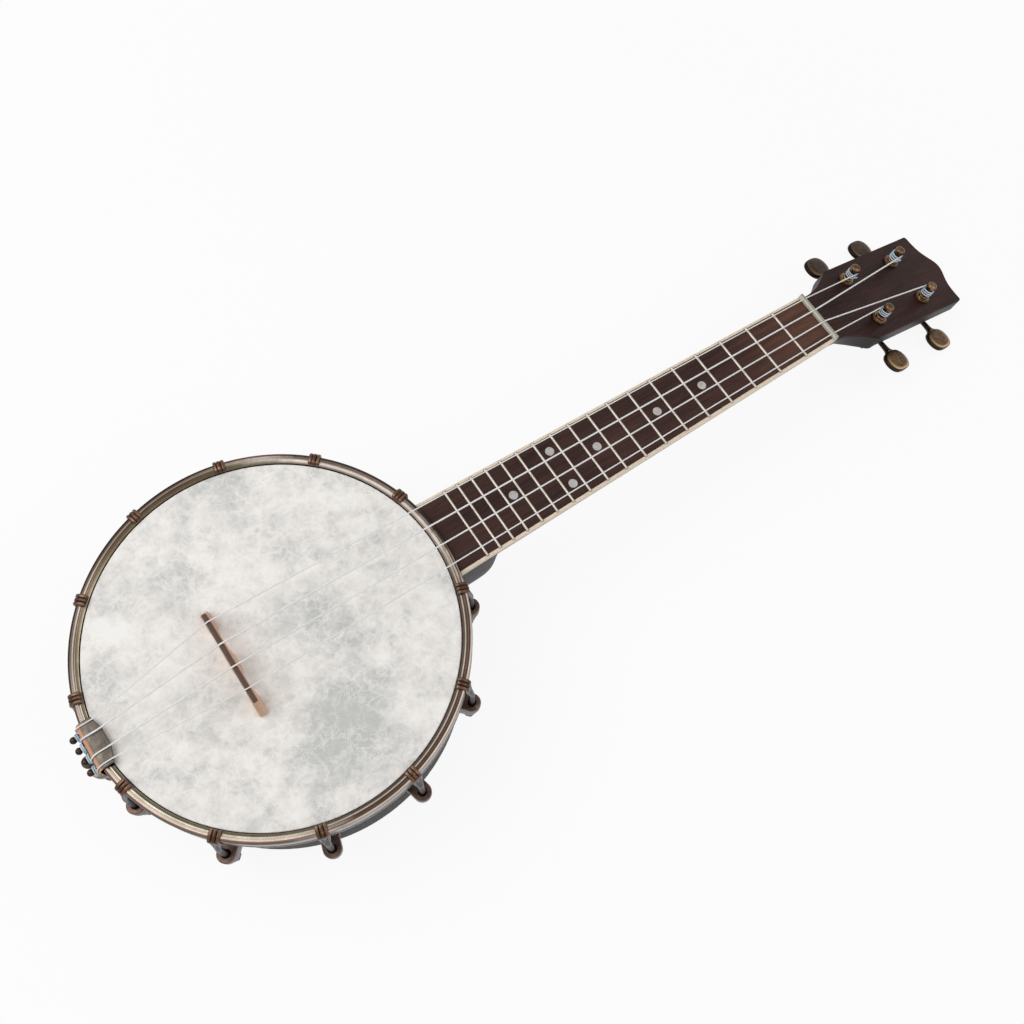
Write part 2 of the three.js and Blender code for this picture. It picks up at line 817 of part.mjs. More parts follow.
function makeBinding(side) {
  const start = -rimOuterRadius / 4;
  const end = nutPlace - glueLine;
  const edge = (x, inset) => side * (boardHalfWidth(x) - inset);
  const strip = slab([
    [start, edge(start, 0)],
    [end, edge(end, 0)],
    [end, edge(end, bindingWidth)],
    [start, edge(start, bindingWidth)],
  ], boardThickness - glueLine - bindingSink).translate(0, 0, -boardThickness + glueLine);
  return cut(strip, potSpace(clearance));
}

// The groove that a string lies in, a little wider than the string and past both faces of the nut
function nutSlot(diameter, i) {
  const toNeck = neckFrame.clone().invert();
  const [front, middle, back] = nutPoints(i);
  const bridge = bridgePoint(i).applyMatrix4(toNeck);
  const turn = postTurns(i)[0].applyMatrix4(headInNeck);
  return tube([
    front.clone().add(bridge.sub(front).setLength(overrun)),
    front,
    middle,
    back,
    back.clone().add(turn.sub(back).setLength(overrun)),
  ], diameter / 2 + clearance, rodSides);
}

function makeNut() {
  const block = sideSlab([
    [nutPlace, -boardThickness + glueLine],
    [headStart, -boardThickness + glueLine],
    [headStart, nutRise - stringDropOverNut],
    [nutPlace + nutThickness / 2, nutRise],
    [nutPlace, nutRise],
  ], boardWidthAtNut);
  return cut(block, ...stringDiameters.map(nutSlot));
}

// The rounded back of the neck between the heel and the nut
function makeShaft() {
  const length = headStart + headShoulder / 3;
  const unit = halfEllipse(0, 0, 1, 1, neckRoundSteps).map(([y, z]) => [z, y]);
  const plain = new THREE.ExtrudeGeometry(
    new THREE.Shape(unit.map(([x, y]) => new THREE.Vector2(x, y))),
    { depth: length, steps: neckLengthSteps, bevelEnabled: false },
  ).rotateY(Math.PI / 2);
  return shaped(plain, (point) => {
    const share = point.x / nutPlace;
    const depth = THREE.MathUtils.lerp(neckDepthAtHeel, neckDepthAtNut, share);
    point.y *= boardHalfWidth(Math.min(point.x, nutPlace)) - neckInset;
    point.z = point.z * depth - boardThickness;
  });
}

// The heel: a footprint with a rounded front, swept down and rounded off at the bottom
function makeHeel() {
  const round = (value) => Math.sign(value) * Math.abs(value) ** heelCornerShare;
  const footprint = Array.from({ length: heelFrontSteps + 1 }, (_, i) => {
    const angle = Math.PI * (i / heelFrontSteps - 1 / 2);
    return [heelLength * round(Math.cos(angle)), round(Math.sin(angle))];
  });
  const start = -rimOuterRadius / 4;
  const depth = heelBottom - boardThickness;
  const plain = slab([[start, -1], ...footprint, [start, 1]], depth, heelDepthSteps);
  return shaped(plain, (point) => {
    const angle = point.z / depth * heelFlatShare * Math.PI / 2;
    const shrink = round(Math.cos(angle));
    if (point.x > 0) point.x *= shrink;
    point.y *= shrink * (boardHalfWidth(0) - neckInset);
    point.z = -boardThickness - depth * round(Math.sin(angle));
  });
}

const headHalfAtNut = boardWidthAtNut / 2 - neckInset;

// The headstock's outline: flared shoulders, straight sides and a crowned end
function headOutline() {
  const side = [];
  for (let i = 0; i <= headCurveSteps; i += 1) {
    const share = i / headCurveSteps;
    const flare = share ** 2;
    side.push([headShoulder * share, THREE.MathUtils.lerp(headHalfAtNut, headShoulderWidth / 2, flare)]);
  }
  const end = [];
  for (let i = 0; i < headCurveSteps; i += 1) {
    const share = 1 - i / headCurveSteps;
    const swell = (1 + Math.cos(Math.PI * share)) / 2;
    end.push([headLength + headCrown * swell, headEndWidth / 2 * share]);
  }
  const half = [...side, ...end];
  const mirrored = half.map(([x, y]) => [x, -y]).reverse();
  return [...half, [headLength + headCrown, 0], ...mirrored];
}

function postHoles(radius) {
  const length = headThicknessCore + veneerThickness + 4 * overrun;
  return stringDiameters.map((_, i) => {
    const { along, across } = postPlaceOf(i);
    return post(radius, length, postSides).translate(along, across, headBack - overrun);
  });
}

const sleeveRadius = postRadius + clearance + bushingWall;

function makeNeck() {
  const holes = postHoles(sleeveRadius + clearance);
  const slabTop = -veneerThickness - glueLine;
  const block = slab(headOutline(), headThicknessCore).translate(0, 0, slabTop - headThicknessCore);
  const eased = shaped(block, (point) => {
    const share = THREE.MathUtils.clamp(point.x / headShoulder, 0, 1);
    if (point.z < slabTop - headThicknessCore / 2) point.y *= THREE.MathUtils.lerp(voluteShare, 1, share);
  });
  const core = cut(eased, ...holes);
  const bore = alongX(post(studRadius + clearance, studGrip + overrun, braceSides))
    .translate(rimOuterRadius - overrun / 2, 0, -braceDrop)
    .applyMatrix4(neckFrame.clone().invert());
  const overVeneer = new THREE.BoxGeometry(headLength, headEndWidth, headShoulder)
    .translate(headLength / 2 - overrun, 0, headShoulder / 2 + slabTop)
    .applyMatrix4(headInNeck);
  const shaft = cut(makeShaft(), overVeneer);
  const body = join(makeHeel(), shaft, core.applyMatrix4(headInNeck));
  return cut(body, potSpace(clearance), bore);
}

function makeVeneer() {
  const plate = slab(headOutline(), veneerThickness).translate(0, 0, -veneerThickness);
  const nutSpace = new THREE.BoxGeometry(nutThickness, boardWidthAtNut + overrun, headShoulder)
    .translate(headStart + clearance - nutThickness / 2, 0, 0)
    .applyMatrix4(headInNeck.clone().invert());
  return cut(plate, nutSpace, ...postHoles(sleeveRadius + clearance));
}

// Tuners, each built round its own post with the worm towards +X and the button towards +Y

function makeBushing() {
  const bore = postRadius + clearance;
  const lipHeight = bushingFlangeHeight - bushingLip;
  const profile = [
    [bore, headBack + clearance],
    [sleeveRadius, headBack + clearance],
    [sleeveRadius, clearance],
    [bushingFlangeRadius, clearance],
    [bushingFlangeRadius, lipHeight],
    [bushingFlangeRadius - bushingLip, bushingFlangeHeight],
    [bore, bushingFlangeHeight],
  ];
  const points = [...profile, profile[0]].map(([x, y]) => new THREE.Vector2(x, y));
  return welded(new THREE.LatheGeometry(points, postSides).rotateX(Math.PI / 2));
}

function makeGear() {
  const toothAngle = 2 * Math.PI / gearToothCount;
  const outline = Array.from({ length: 3 * gearToothCount }, (_, i) => {
    const corner = i % 3;
    const angle = (Math.floor(i / 3) + (corner - 1) * toothShare) * toothAngle;
    const radius = corner === 2 ? gearRadius - toothDepth : gearRadius;
    return [radius * Math.cos(angle), radius * Math.sin(angle)];
  });
  return slab(outline, gearThickness).translate(0, 0, gearTop - gearThickness);
}

function makePost() {
  const waistTop = postWaistBottom + postWaistHeight;
  const capTop = waistTop + postCapHeight;
  const bevel = postCapHeight / 3;
  const bottom = gearTop - gearThickness / 2;
  const points = [
    [0, bottom],
    [postRadius, bottom],
    [postRadius, postWaistBottom],
    [postWaistRadius, postWaistBottom + clearance / 2],
    [postWaistRadius, waistTop - clearance / 2],
    [postRadius, waistTop],
    [postRadius, capTop - bevel],
    [postRadius - bevel, capTop],
    [0, capTop],
  ].map(([x, y]) => new THREE.Vector2(x, y));
  return join(new THREE.LatheGeometry(points, postSides).rotateX(Math.PI / 2), makeGear());
}

const lugPlace = wormLength / 2 + clearance;

function makeHousing() {
  const start = -housingWidth / 2;
  const end = gearOffset + wormRadius + lugMargin;
  const plate = slab([
    [start, -housingWidth / 2],
    [end, -housingWidth / 2],
    [end, housingWidth / 2],
    [start, housingWidth / 2],
  ], housingThickness).translate(0, 0, housingBottom);
  const lugHeight = housingTop - wormHeight + shaftRadius + lugMargin;
  const lugLength = 2 * (shaftRadius + lugMargin);
  const lugs = [-1, 1].map((side) => new THREE.BoxGeometry(lugLength, lugThickness, lugHeight)
    .translate(gearOffset, side * (lugPlace + lugThickness / 2), housingTop - lugHeight / 2));
  const hole = post(postRadius + clearance, housingThickness + 2 * overrun, postSides)
    .translate(0, 0, housingBottom - overrun);
  const shaftHole = alongY(post(shaftRadius + clearance, housingWidth + 2 * overrun, shaftSides))
    .translate(gearOffset, -housingWidth / 2 - overrun, wormHeight);
  return cut(join(plate, ...lugs), hole, shaftHole);
}

function makeButton(reach) {
  const shaftStart = -lugPlace - lugThickness - clearance;
  const bladeStart = reach - buttonLength / 2;
  const shaft = alongY(post(shaftRadius, bladeStart + shaftRadius - shaftStart, shaftSides)).translate(0, shaftStart, 0);
  const worm = alongY(post(wormRadius, wormLength, shaftSides)).translate(0, -wormLength / 2, 0);
  const collar = alongY(post(buttonCollarRadius, buttonCollarLength, shaftSides))
    .translate(0, bladeStart - buttonCollarLength / 2, 0);
  const oval = new THREE.SphereGeometry(1, buttonSteps, buttonSteps / 2)
    .rotateX(Math.PI / 2)
    .scale(buttonWidth / 2, buttonLength / 2, buttonThickness / 2)
    .translate(0, reach, 0);
  return join(shaft, worm, collar, oval);
}

// Putting the pot together

addPiece(instrument, 'pot_rim', makeRim(), 'rim');
addPiece(instrument, 'drum_head', makeHead(), 'skin');
addPiece(instrument, 'flesh_hoop', makeFleshHoop(), 'flesh');
addPiece(instrument, 'tension_hoop', makeTensionHoop(), 'hoop');
hookAngles.forEach((angle, i) => {
  addPiece(instrument, `hook_${pad(i + 1)}`, makeHook(), 'copper').rotation.z = angle;
  addPiece(instrument, `shoe_${pad(i + 1)}`, makeShoe(), 'copper').rotation.z = angle;
});
addPiece(instrument, 'coordinator_rod', makeBrace(), 'steel');
addPiece(instrument, 'tail_shoe', makeTailShoe(), 'copper').rotation.z = Math.PI;
addPiece(instrument, 'tail_bolt', makeTailBolt(), 'copper').rotation.z = Math.PI;
addPiece(instrument, 'tailpiece', makeTailpiece(), 'tailpiece');
addPiece(instrument, 'bridge_body', makeBridgeBody(), 'maple');
addPiece(instrument, 'bridge_cap', makeBridgeCap(), 'ebony');

// Putting the neck together

addPiece(neckGroup, 'neck', makeNeck(), 'neck');
addPiece(neckGroup, 'fingerboard', makeFingerboard(), 'rosewood');
addPiece(neckGroup, 'binding_bass', makeBinding(1), 'cream');
addPiece(neckGroup, 'binding_treble', makeBinding(-1), 'cream');
addPiece(neckGroup, 'nut', makeNut(), 'bone');
addPiece(headGroup, 'headstock_veneer', makeVeneer(), 'veneer');

// Strings and tuners, numbered from the +Y side

stringDiameters.forEach((diameter, i) => {
  const number = i + 1;
  const route = stringRoute(i);
  console.log(`string_${number}: least gap between its turns`, leastTurnGap(route, diameter).toFixed(2), 'mm');
  addPiece(instrument, `string_${number}`, tube(route, diameter / 2, stringSides), 'nylon');
  const { side, along, across } = postPlaceOf(i);
  const tuner = new THREE.Group();
  tuner.position.set(along, across, 0);
  headGroup.add(tuner);
  addPiece(tuner, `tuner_${number}_bushing`, makeBushing(), 'brass');
  addPiece(tuner, `tuner_${number}_post`, makePost(), 'brass');
  addPiece(tuner, `tuner_${number}_housing`, makeHousing(), 'brass');
  const button = addPiece(tuner, `tuner_${number}_button`, makeButton(buttonReach - Math.abs(across)), 'brass');
  button.position.set(gearOffset, 0, wormHeight);
  if (side < 0) button.rotation.z = Math.PI;
});

// Standing the instrument on its back, over the origin

const model = new THREE.Group();
const headEnd = onHead(headLength + headCrown, 0, 0).x;
const tailEnd = -tailShoeCentre - tailShoeRadius;
instrument.position.set(-(headEnd + tailEnd) / 2, 0, rimDepth);
model.add(instrument);
export default model;
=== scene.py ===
from math import acos, atan2, copysign, cos, exp, hypot, pi, radians, sin, sqrt

import bmesh
import bpy
from mathutils import Matrix, Vector


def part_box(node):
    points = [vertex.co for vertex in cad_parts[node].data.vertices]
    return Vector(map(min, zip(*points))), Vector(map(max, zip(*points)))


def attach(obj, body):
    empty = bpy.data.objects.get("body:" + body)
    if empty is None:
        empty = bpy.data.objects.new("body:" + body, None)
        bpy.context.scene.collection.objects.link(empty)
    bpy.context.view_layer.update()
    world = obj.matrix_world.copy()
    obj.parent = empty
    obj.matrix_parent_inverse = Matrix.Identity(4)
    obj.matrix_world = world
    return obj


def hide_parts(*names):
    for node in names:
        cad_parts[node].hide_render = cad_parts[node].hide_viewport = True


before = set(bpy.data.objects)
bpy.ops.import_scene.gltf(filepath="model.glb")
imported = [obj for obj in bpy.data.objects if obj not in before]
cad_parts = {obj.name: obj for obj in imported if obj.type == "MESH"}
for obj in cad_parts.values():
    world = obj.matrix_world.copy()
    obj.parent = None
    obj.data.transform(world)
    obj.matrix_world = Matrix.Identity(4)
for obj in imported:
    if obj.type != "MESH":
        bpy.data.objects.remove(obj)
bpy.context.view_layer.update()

# Sizes, nearly all of them shared with the frame
RIM_OUTER, RIM_INNER, RIM_DEPTH = 95, 85, 75.5
BEARING, COLLAR = 90.4, 91.2
HOOP_INNER, HOOP_OUTER, HOOP_BOTTOM = 92.1, 97.9, -8.9
FLESH_OUTER, FLESH_TOP, FLESH_BOTTOM = 98.1, -9.2, -13.2
HOOK_COUNT, NECK_GAP = 12, radians(36)
HOOK_WIDTH, HOOK_INSIDE, HOOK_OUTSIDE = 5.8, 3.41, 4.61
ROD, ROD_END, TAPER_START, TAPER_END = 1.6, -64, -2, -19
SHOE_CENTRE, SHOE_RADIUS, SHOE_TOP, SHOE_BOTTOM = 101.6, 4.8, -37, -57
TAIL_CENTRE, TAIL_RADIUS, TAIL_BOTTOM = 104.5, 5.2, -51
BRACE_DROP = 44
PLATE_TOP, PLATE, PLATE_WIDTH = 4.1, 1.5, 26
FLAP_OUTER, FLAP_LENGTH = -99.9, 17
TAIL_THICK, TAIL_BEND = 0.8, 4.2
PIN_SPACING, PIN_DROP, PIN_RADIUS, PIN_LENGTH = 6, 4, 1.1, 2.2
SCALE, FRETS = 381, 18
JOIN = 98.4
BRIDGE_X = JOIN + 13.95 - SCALE * 2 ** (-FRETS / 12)
NECK_ANGLE, HEAD_TILT = radians(3.5), radians(15)
NUT_X = (BRIDGE_X + SCALE - JOIN) / cos(NECK_ANGLE)
NUT_THICK, NUT_WIDE = 5, 3
HEAD_X = NUT_X + NUT_THICK
BOARD, BOARD_POT, BOARD_NUT = 4.2, 44.4, 33.6
BINDING = 1.5
NECK_DEPTH_HEEL, NECK_DEPTH_NUT = 16.5, 14
HEEL_LENGTH, HEEL_DEPTH = 27, 45.8
SHOULDER, SHOULDER_HALF, HEAD_LENGTH, HEAD_END_HALF, HEAD_CROWN, HEAD_CORNER = 30.5, 26.8, 117.5, 27.7, 7, 1.6
VENEER, CORE_TOP, CORE_BOTTOM = 1.6, -1.8, -11.6
STRINGS = [0.7, 0.95, 0.85, 0.7]
SPREAD_BRIDGE, SPREAD_NUT = 38.4, 26.9
BRIDGE_HEIGHT, CAP_HEIGHT, CAP_HALF, BRIDGE_LENGTH, BRIDGE_TOP, BRIDGE_SHIFT = 15, 2, 1.2, 59, 50, -1.1
NEAR_POST, FAR_POST = (41, 15.8), (87, 15.2)
GEAR_TOP, GEAR_THICK, GEAR_X, WORM_Z, WORM_RADIUS, BUTTON_REACH = -17.7, 3, 12.1, -19.2, 3.4, 39.2
HOUSING_TOP, HOUSING_BOTTOM = -11.9, -13.3

# Frames
low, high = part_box("drum_head")
POT = Matrix.Translation(((low.x + high.x) / 2, 0, high.z)) @ Matrix.Scale(0.001, 4)
NECK = POT @ Matrix.Translation((JOIN, 0, -2.1)) @ Matrix.Rotation(NECK_ANGLE, 4, "Y")
HEAD_IN_NECK = Matrix.Translation((HEAD_X, 0, -3.4)) @ Matrix.Rotation(HEAD_TILT, 4, "Y")
HEAD = NECK @ HEAD_IN_NECK
NECK_IN_POT = POT.inverted() @ NECK
HEAD_IN_POT = POT.inverted() @ HEAD

# Camera at the photograph's place, seen from the pot
LENS, SENSOR = 38.934, 36
CAMERA_PLACE = -4.98, -157.04, 537.65
CAMERA_AHEAD, CAMERA_UP = (0.24476, 0.25778, -0.93469), (0.50605, 0.78833, 0.34993)


def shown(name, data):
    item = bpy.data.objects.new(name, data)
    bpy.context.scene.collection.objects.link(item)
    return item


def make_camera():
    data = bpy.data.cameras.new("photo_camera")
    data.sensor_fit = "HORIZONTAL"
    data.sensor_width, data.lens = SENSOR, LENS
    data.clip_start, data.clip_end = 0.01, 20
    camera = shown("photo_camera", data)
    ahead = Vector(CAMERA_AHEAD).normalized()
    right = ahead.cross(Vector(CAMERA_UP)).normalized()
    turn = Matrix((right, right.cross(ahead), -ahead)).transposed().to_4x4()
    camera.matrix_world = Matrix.Translation(POT @ Vector(CAMERA_PLACE)) @ turn
    bpy.context.scene.camera = camera


make_camera()


# Shape helpers. A form is a pair: its corners in millimetres and its faces.
def lerp(a, b, share):
    return a + (b - a) * share


def merge(*forms):
    corners, faces = [], []
    for some, others in forms:
        start = len(corners)
        corners += some
        faces += [tuple(start + i for i in face) for face in others]
    return corners, faces


def moved(form, matrix):
    return [matrix @ Vector(p) for p in form[0]], form[1]


def shifted(form, x=0, y=0, z=0):
    return moved(form, Matrix.Translation((x, y, z)))


def turned(form, degrees, axis="Z"):
    return moved(form, Matrix.Rotation(radians(degrees), 4, axis))


def around(count):
    return [2 * pi * k / count for k in range(count)]


# Pairs with the first value turned negative, and then the same pairs back again
def mirrored(pairs):
    return [(-a, b) for a, b in pairs] + pairs[::-1]


# Below 1 the power squares a circle's sine or cosine off
def squared(value, power):
    return copysign(abs(value) ** power, value)


# Closed rows of points joined to each other, with a face over each open end
def skin(rows, wrap=False):
    count = len(rows[0])
    corners = [Vector(p) for row in rows for p in row]
    faces = []
    last = len(rows) if wrap else len(rows) - 1
    for i in range(last):
        a, b = i * count, (i + 1) % len(rows) * count
        for k in range(count):
            faces.append((a + k, a + (k + 1) % count, b + (k + 1) % count, b + k))
    if not wrap:
        faces.append(tuple(reversed(range(count))))
        faces.append(tuple(range((len(rows) - 1) * count, len(rows) * count)))
    return corners, faces


# A solid of revolution round Z from (radius, height) points, closed as a ring or open at the axis
def lathe(profile, steps=128, ring=False):
    rows = [[(r * cos(a), r * sin(a), z) for r, z in profile] for a in around(steps)]
    corners, faces = skin(rows, wrap=True)
    if not ring:
        count = len(profile)
        faces = [f for f in faces if not {f[0] % count, f[1] % count} == {0, count - 1}]
    return corners, faces


def arc(x, y, radius, start, end, steps, squash=1):
    out = []
    for i in range(steps + 1):
        angle = radians(lerp(start, end, i / steps))
        out.append((x + radius * cos(angle), y + radius * squash * sin(angle)))
    return out


# A closed outline raised from one height to another
def prism(outline, bottom, top):
    return skin([[(x, y, bottom) for x, y in outline], [(x, y, top) for x, y in outline]])


# A round tube along a path, with one radius or one for each point
def tube(path, radius, sides=12):
    points = [Vector(p) for p in path]
    last = len(points) - 1
    normal = Vector((0, 0, 1))
    rows = []
    for i, point in enumerate(points):
        ahead = (points[min(i + 1, last)] - point).normalized() + (point - points[max(i - 1, 0)]).normalized()
        ahead.normalize()
        normal = normal - ahead * normal.dot(ahead)
        if normal.length < 0.05:
            normal = ahead.orthogonal()
        normal.normalize()
        other = ahead.cross(normal)
        size = radius[i] if isinstance(radius, (list, tuple)) else radius
        rows.append([point + normal * size * cos(a) + other * size * sin(a) for a in around(sides)])
    return skin(rows)


# A hexagonal nut standing on a height, with rounded corners above and below
def hex_nut(radius, bottom, top):
    crown = radius * 0.12
    rows = []
    for z, share in ((bottom, 0.88), (bottom + crown, 1), (top - crown, 1), (top, 0.88)):
        row = []
        for k in range(6):
            for part in (-1, 0, 1):
                angle = radians(60 * k + 8 * part)
                size = radius * share * (0.985 if part else 1)
                row.append((size * cos(angle), size * sin(angle), z))
        rows.append(row)
    return skin(rows)


# A smooth curve through a few points
def smooth_path(points, steps):
    points = [Vector(p) for p in points]
    padded = [points[0] * 2 - points[1], *points, points[-1] * 2 - points[-2]]
    out = []
    for a, b, c, d in zip(padded, padded[1:], padded[2:], padded[3:]):
        for t in [k / steps for k in range(steps)]:
            out.append(0.5 * (2 * b + (c - a) * t + (2 * a - 5 * b + 4 * c - d) * t ** 2
                              + (3 * b - 3 * c + d - a) * t ** 3))
    return out + points[-1:]


def mesh_of(form, matrix, bevel=0, bevel_angle=35, segments=2):
    mesh = bpy.data.meshes.new("form")
    mesh.from_pydata([matrix @ Vector(p) for p in form[0]], [], form[1])
    work = bmesh.new()
    work.from_mesh(mesh)
    bmesh.ops.remove_doubles(work, verts=work.verts, dist=2e-6)
    bmesh.ops.recalc_face_normals(work, faces=work.faces)
    if bevel:
        limit = radians(bevel_angle)
        edges = [e for e in work.edges if len(e.link_faces) == 2 and e.calc_face_angle(0) > limit]
        bmesh.ops.bevel(work, geom=edges, offset=bevel / 1000, segments=segments, profile=0.5, affect="EDGES",
                        clamp_overlap=True)
    work.to_mesh(mesh)
    work.free()
    return mesh


# Takes one form out of another
def carve(form, *tools):
    objects = [shown("carving", mesh_of(one, Matrix.Identity(4))) for one in (form, merge(*tools))]
    cutter = objects[0].modifiers.new("cut", "BOOLEAN")
    cutter.operation, cutter.solver, cutter.object = "DIFFERENCE", "EXACT", objects[1]
    shape = objects[0].evaluated_get(bpy.context.evaluated_depsgraph_get())
    mesh = bpy.data.meshes.new_from_object(shape)
    result = [v.co.copy() for v in mesh.vertices], [tuple(p.vertices) for p in mesh.polygons]
    for item in objects:
        bpy.data.objects.remove(item)
    return result


# A finished piece: its shape, material, slot (not used), body and the frame's nodes that it stands for
def piece(name, form, matrix, material, slot, nodes, body="root", sharp=38, **bevels):
    mesh = mesh_of(form, matrix, **bevels)
    mesh.name = name
    mesh.polygons.foreach_set("use_smooth", [True] * len(mesh.polygons))
    mesh.set_sharp_from_angle(angle=radians(sharp))
    mesh.materials.append(material)
    item = shown(name, mesh)
    item.modifiers.new("weights", "WEIGHTED_NORMAL").keep_sharp = True
    weighted = item.evaluated_get(bpy.context.evaluated_depsgraph_get())
    item.data = bpy.data.meshes.new_from_object(weighted)
    item.modifiers.clear()
    item.data.name = name
    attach(item, body)
    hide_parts(*nodes)


# Materials. A colour is three sRGB values up to 255, one grey level, or four linear values.
def rgba(colour):
    if isinstance(colour, (int, float)):
        return colour, colour, colour, 1
    if len(colour) == 4:
        return colour
    shares = [value / 255 for value in colour]
    return (*[v / 12.92 if v <= 0.04045 else ((v + 0.055) / 1.055) ** 2.4 for v in shares], 1)


class Nodes:
    def __init__(self, tree):
        self.tree = tree

    def add(self, kind, inputs=(), **settings):
        node = self.tree.nodes.new(kind)
        for key, value in settings.items():
            setattr(node, key, value)
        for key, value in dict(inputs).items():
            if isinstance(value, bpy.types.NodeSocket):
                self.tree.links.new(value, node.inputs[key])
            else:
                node.inputs[key].default_value = value
        return node

    def math(self, operation, *values):
        return self.add("ShaderNodeMath", dict(enumerate(values)), operation=operation).outputs[0]

    # From one level to another, while a value goes from a start to an end
    def fade(self, value, start, end, low=0.0, high=1.0, kind="LINEAR"):
        levels = {0: value, 1: start, 2: end, 3: low, 4: high}
        return self.add("ShaderNodeMapRange", levels, interpolation_type=kind).outputs[0]

    # 1 for the rays that come straight from the camera, a mirror or a clear piece, and 0 for the others
    def seen(self):
        path = self.add("ShaderNodeLightPath").outputs
        either = self.math("MAXIMUM", path["Is Camera Ray"], path["Is Glossy Ray"])
        return self.math("MAXIMUM", either, path["Is Transmission Ray"])


class Look(Nodes):
    def __init__(self, name, **constants):
        self.material = bpy.data.materials.new(name)
        self.material.use_nodes = True
        super().__init__(self.material.node_tree)
        self.shader = self.tree.nodes["Principled BSDF"]
        for key, value in constants.items():
            self.shader.inputs[key.replace("_", " ")].default_value = value
        self.coordinates = self.add("ShaderNodeTexCoord").outputs["Object"]

    def vector(self, operation, one, other):
        return self.add("ShaderNodeVectorMath", {0: one, 1: other}, operation=operation).outputs[0]

    def split(self, vector):
        return self.add("ShaderNodeSeparateXYZ", {0: vector}).outputs

    def length(self, x, y):
        return self.math("SQRT", self.math("ADD", self.math("MULTIPLY", x, x), self.math("MULTIPLY", y, y)))

    # The place on the object, in millimetres in one of the frames
    def place(self, matrix, stretch=(1, 1, 1)):
        back = matrix.inverted()
        here = self.add("ShaderNodeMapping", {
            "Vector": self.coordinates, "Location": back.to_translation(),
            "Rotation": back.to_euler(), "Scale": back.to_scale(),
        })
        return self.vector("MULTIPLY", here.outputs[0], stretch)

    # Distance from the pot's axis, way round it along the rim and height, in millimetres
    def round_place(self, stretch=(1, 1, 1)):
        x, y, z = self.split(self.place(POT))
        along = self.math("MULTIPLY", self.math("ARCTAN2", y, x), RIM_OUTER)
        joined = self.add("ShaderNodeCombineXYZ", {0: self.length(x, y), 1: along, 2: z})
        return self.vector("MULTIPLY", joined.outputs[0], stretch)

    def noise(self, place, scale=1.0, detail=3.0, roughness=0.5, distortion=0.0, output="Fac"):
        return self.add("ShaderNodeTexNoise", {
            "Vector": place, "Scale": scale, "Detail": detail, "Roughness": roughness,
            "Distortion": distortion,
        }).outputs[output]

    def ramp(self, value, *stops):
        node = self.add("ShaderNodeValToRGB", {0: value})
        elements = node.color_ramp.elements
        while len(elements) < len(stops):
            elements.new(0.5)
        for element, (place, colour) in zip(elements, stops):
            element.position = place
            element.color = rgba(colour)
        return node.outputs[0]

    def mix(self, share, one, other, kind="MIX"):
        one, other = [rgba(colour) if isinstance(colour, tuple) else colour for colour in (one, other)]
        inputs = {0: share, 6: one, 7: other}
        return self.add("ShaderNodeMix", inputs, data_type="RGBA", blend_type=kind).outputs[2]

    def tinted(self, one, other):
        return self.mix(1.0, one, other, "MULTIPLY")

    def join(self, socket, name):
        self.tree.links.new(socket, self.shader.inputs[name])

    # Joins the colour, a ramp of roughness and a relief with its height in millimetres
    def closed(self, colour, rough, relief, height=0.02, strength=0.4):
        self.join(colour, "Base Color")
        self.join(self.ramp(*rough), "Roughness")
        bump = self.add("ShaderNodeBump", {"Height": relief, "Distance": height / 1000, "Strength": strength})
        self.join(bump.outputs[0], "Normal")
        return self.material


# An antique metal with brushed lines, patina and brighter edges, which are partly wear and partly painted
# highlight.
# Going down it can fade to a lower colour and then to a deep one, and a gain can brighten it from one place
# along X to another.
def antique(name, dark, middle, bright, grain=(1, 1, 1), matrix=POT, rough=0.34, lower=None, fade=None,
            deep=None, gain=None):
    look = Look(name, Metallic=1.0)
    place = look.place(matrix)
    x, _, height = look.split(place)
    patina = look.noise(place, 0.22, 5, 0.6, 0.4)
    base = look.ramp(patina, (0.3, dark), (0.55, middle), (0.78, bright))
    wear_and_sheen = bright
    if lower:
        share = look.fade(height, *fade)
        base, wear_and_sheen = look.mix(share, base, lower), look.mix(share, wear_and_sheen, lower)
    if deep:
        share = look.fade(height, fade[1] - 1.5, fade[1] - 5)
        base, wear_and_sheen = look.mix(share, base, deep), look.mix(share, wear_and_sheen, deep)
    if gain:
        base = look.tinted(base, look.fade(x, *gain))
    lines = look.noise(look.place(matrix, grain), 1.6, 4, 0.65)
    brushed = look.tinted(base, look.ramp(lines, (0.3, 0.72), (0.7, 1.0)))
    # Edges turn to the bright colour: wear, and also a painted highlight on ribs and rims
    edges = look.add("ShaderNodeNewGeometry").outputs["Pointiness"]
    colour = look.mix(look.ramp(edges, (0.52, 0.0), (0.6, 0.55)), brushed, wear_and_sheen)
    return look.closed(colour, (lines, (0.25, rough + 0.12), (0.75, rough - 0.06)), lines, 0.03, 0.5)


# A button's face, with a painted highlight line round it, a rim darkened as painted shade, and a dark stem
def make_knob_painted_light(name, side, dark, middle, bright, rim, stem):
    look = Look(name, Metallic=1.0)
    place = look.place(HEAD)
    face = look.ramp(look.noise(place, 0.5, 5, 0.65, 0.5), (0.32, dark), (0.62, middle))
    _, y, height = look.split(place)
    apart = look.math("ABSOLUTE", look.math("SUBTRACT", height, WORM_Z))
    # The painted highlight line, strongest near the stem and fading towards the button's end
    wear_and_sheen = look.mix(look.fade(y, side * BUTTON_REACH + 4, side * BUTTON_REACH - 7, 0.1), face, bright)
    past = look.fade(look.math("ABSOLUTE", y), BUTTON_REACH - 9, BUTTON_REACH - 7.5)
    # The button's side below the line is dark as painted shade; the stem keeps its own dark colour
    edge = look.mix(look.fade(apart, 1.5, 1.68), look.mix(past, stem, rim), wear_and_sheen)
    fine = look.noise(place, 2.2, 3, 0.6)
    colour = look.mix(look.fade(apart, 1.85, 2.05), edge, face)
    return look.closed(colour, (fine, (0.3, 0.42), (0.7, 0.3)), fine)


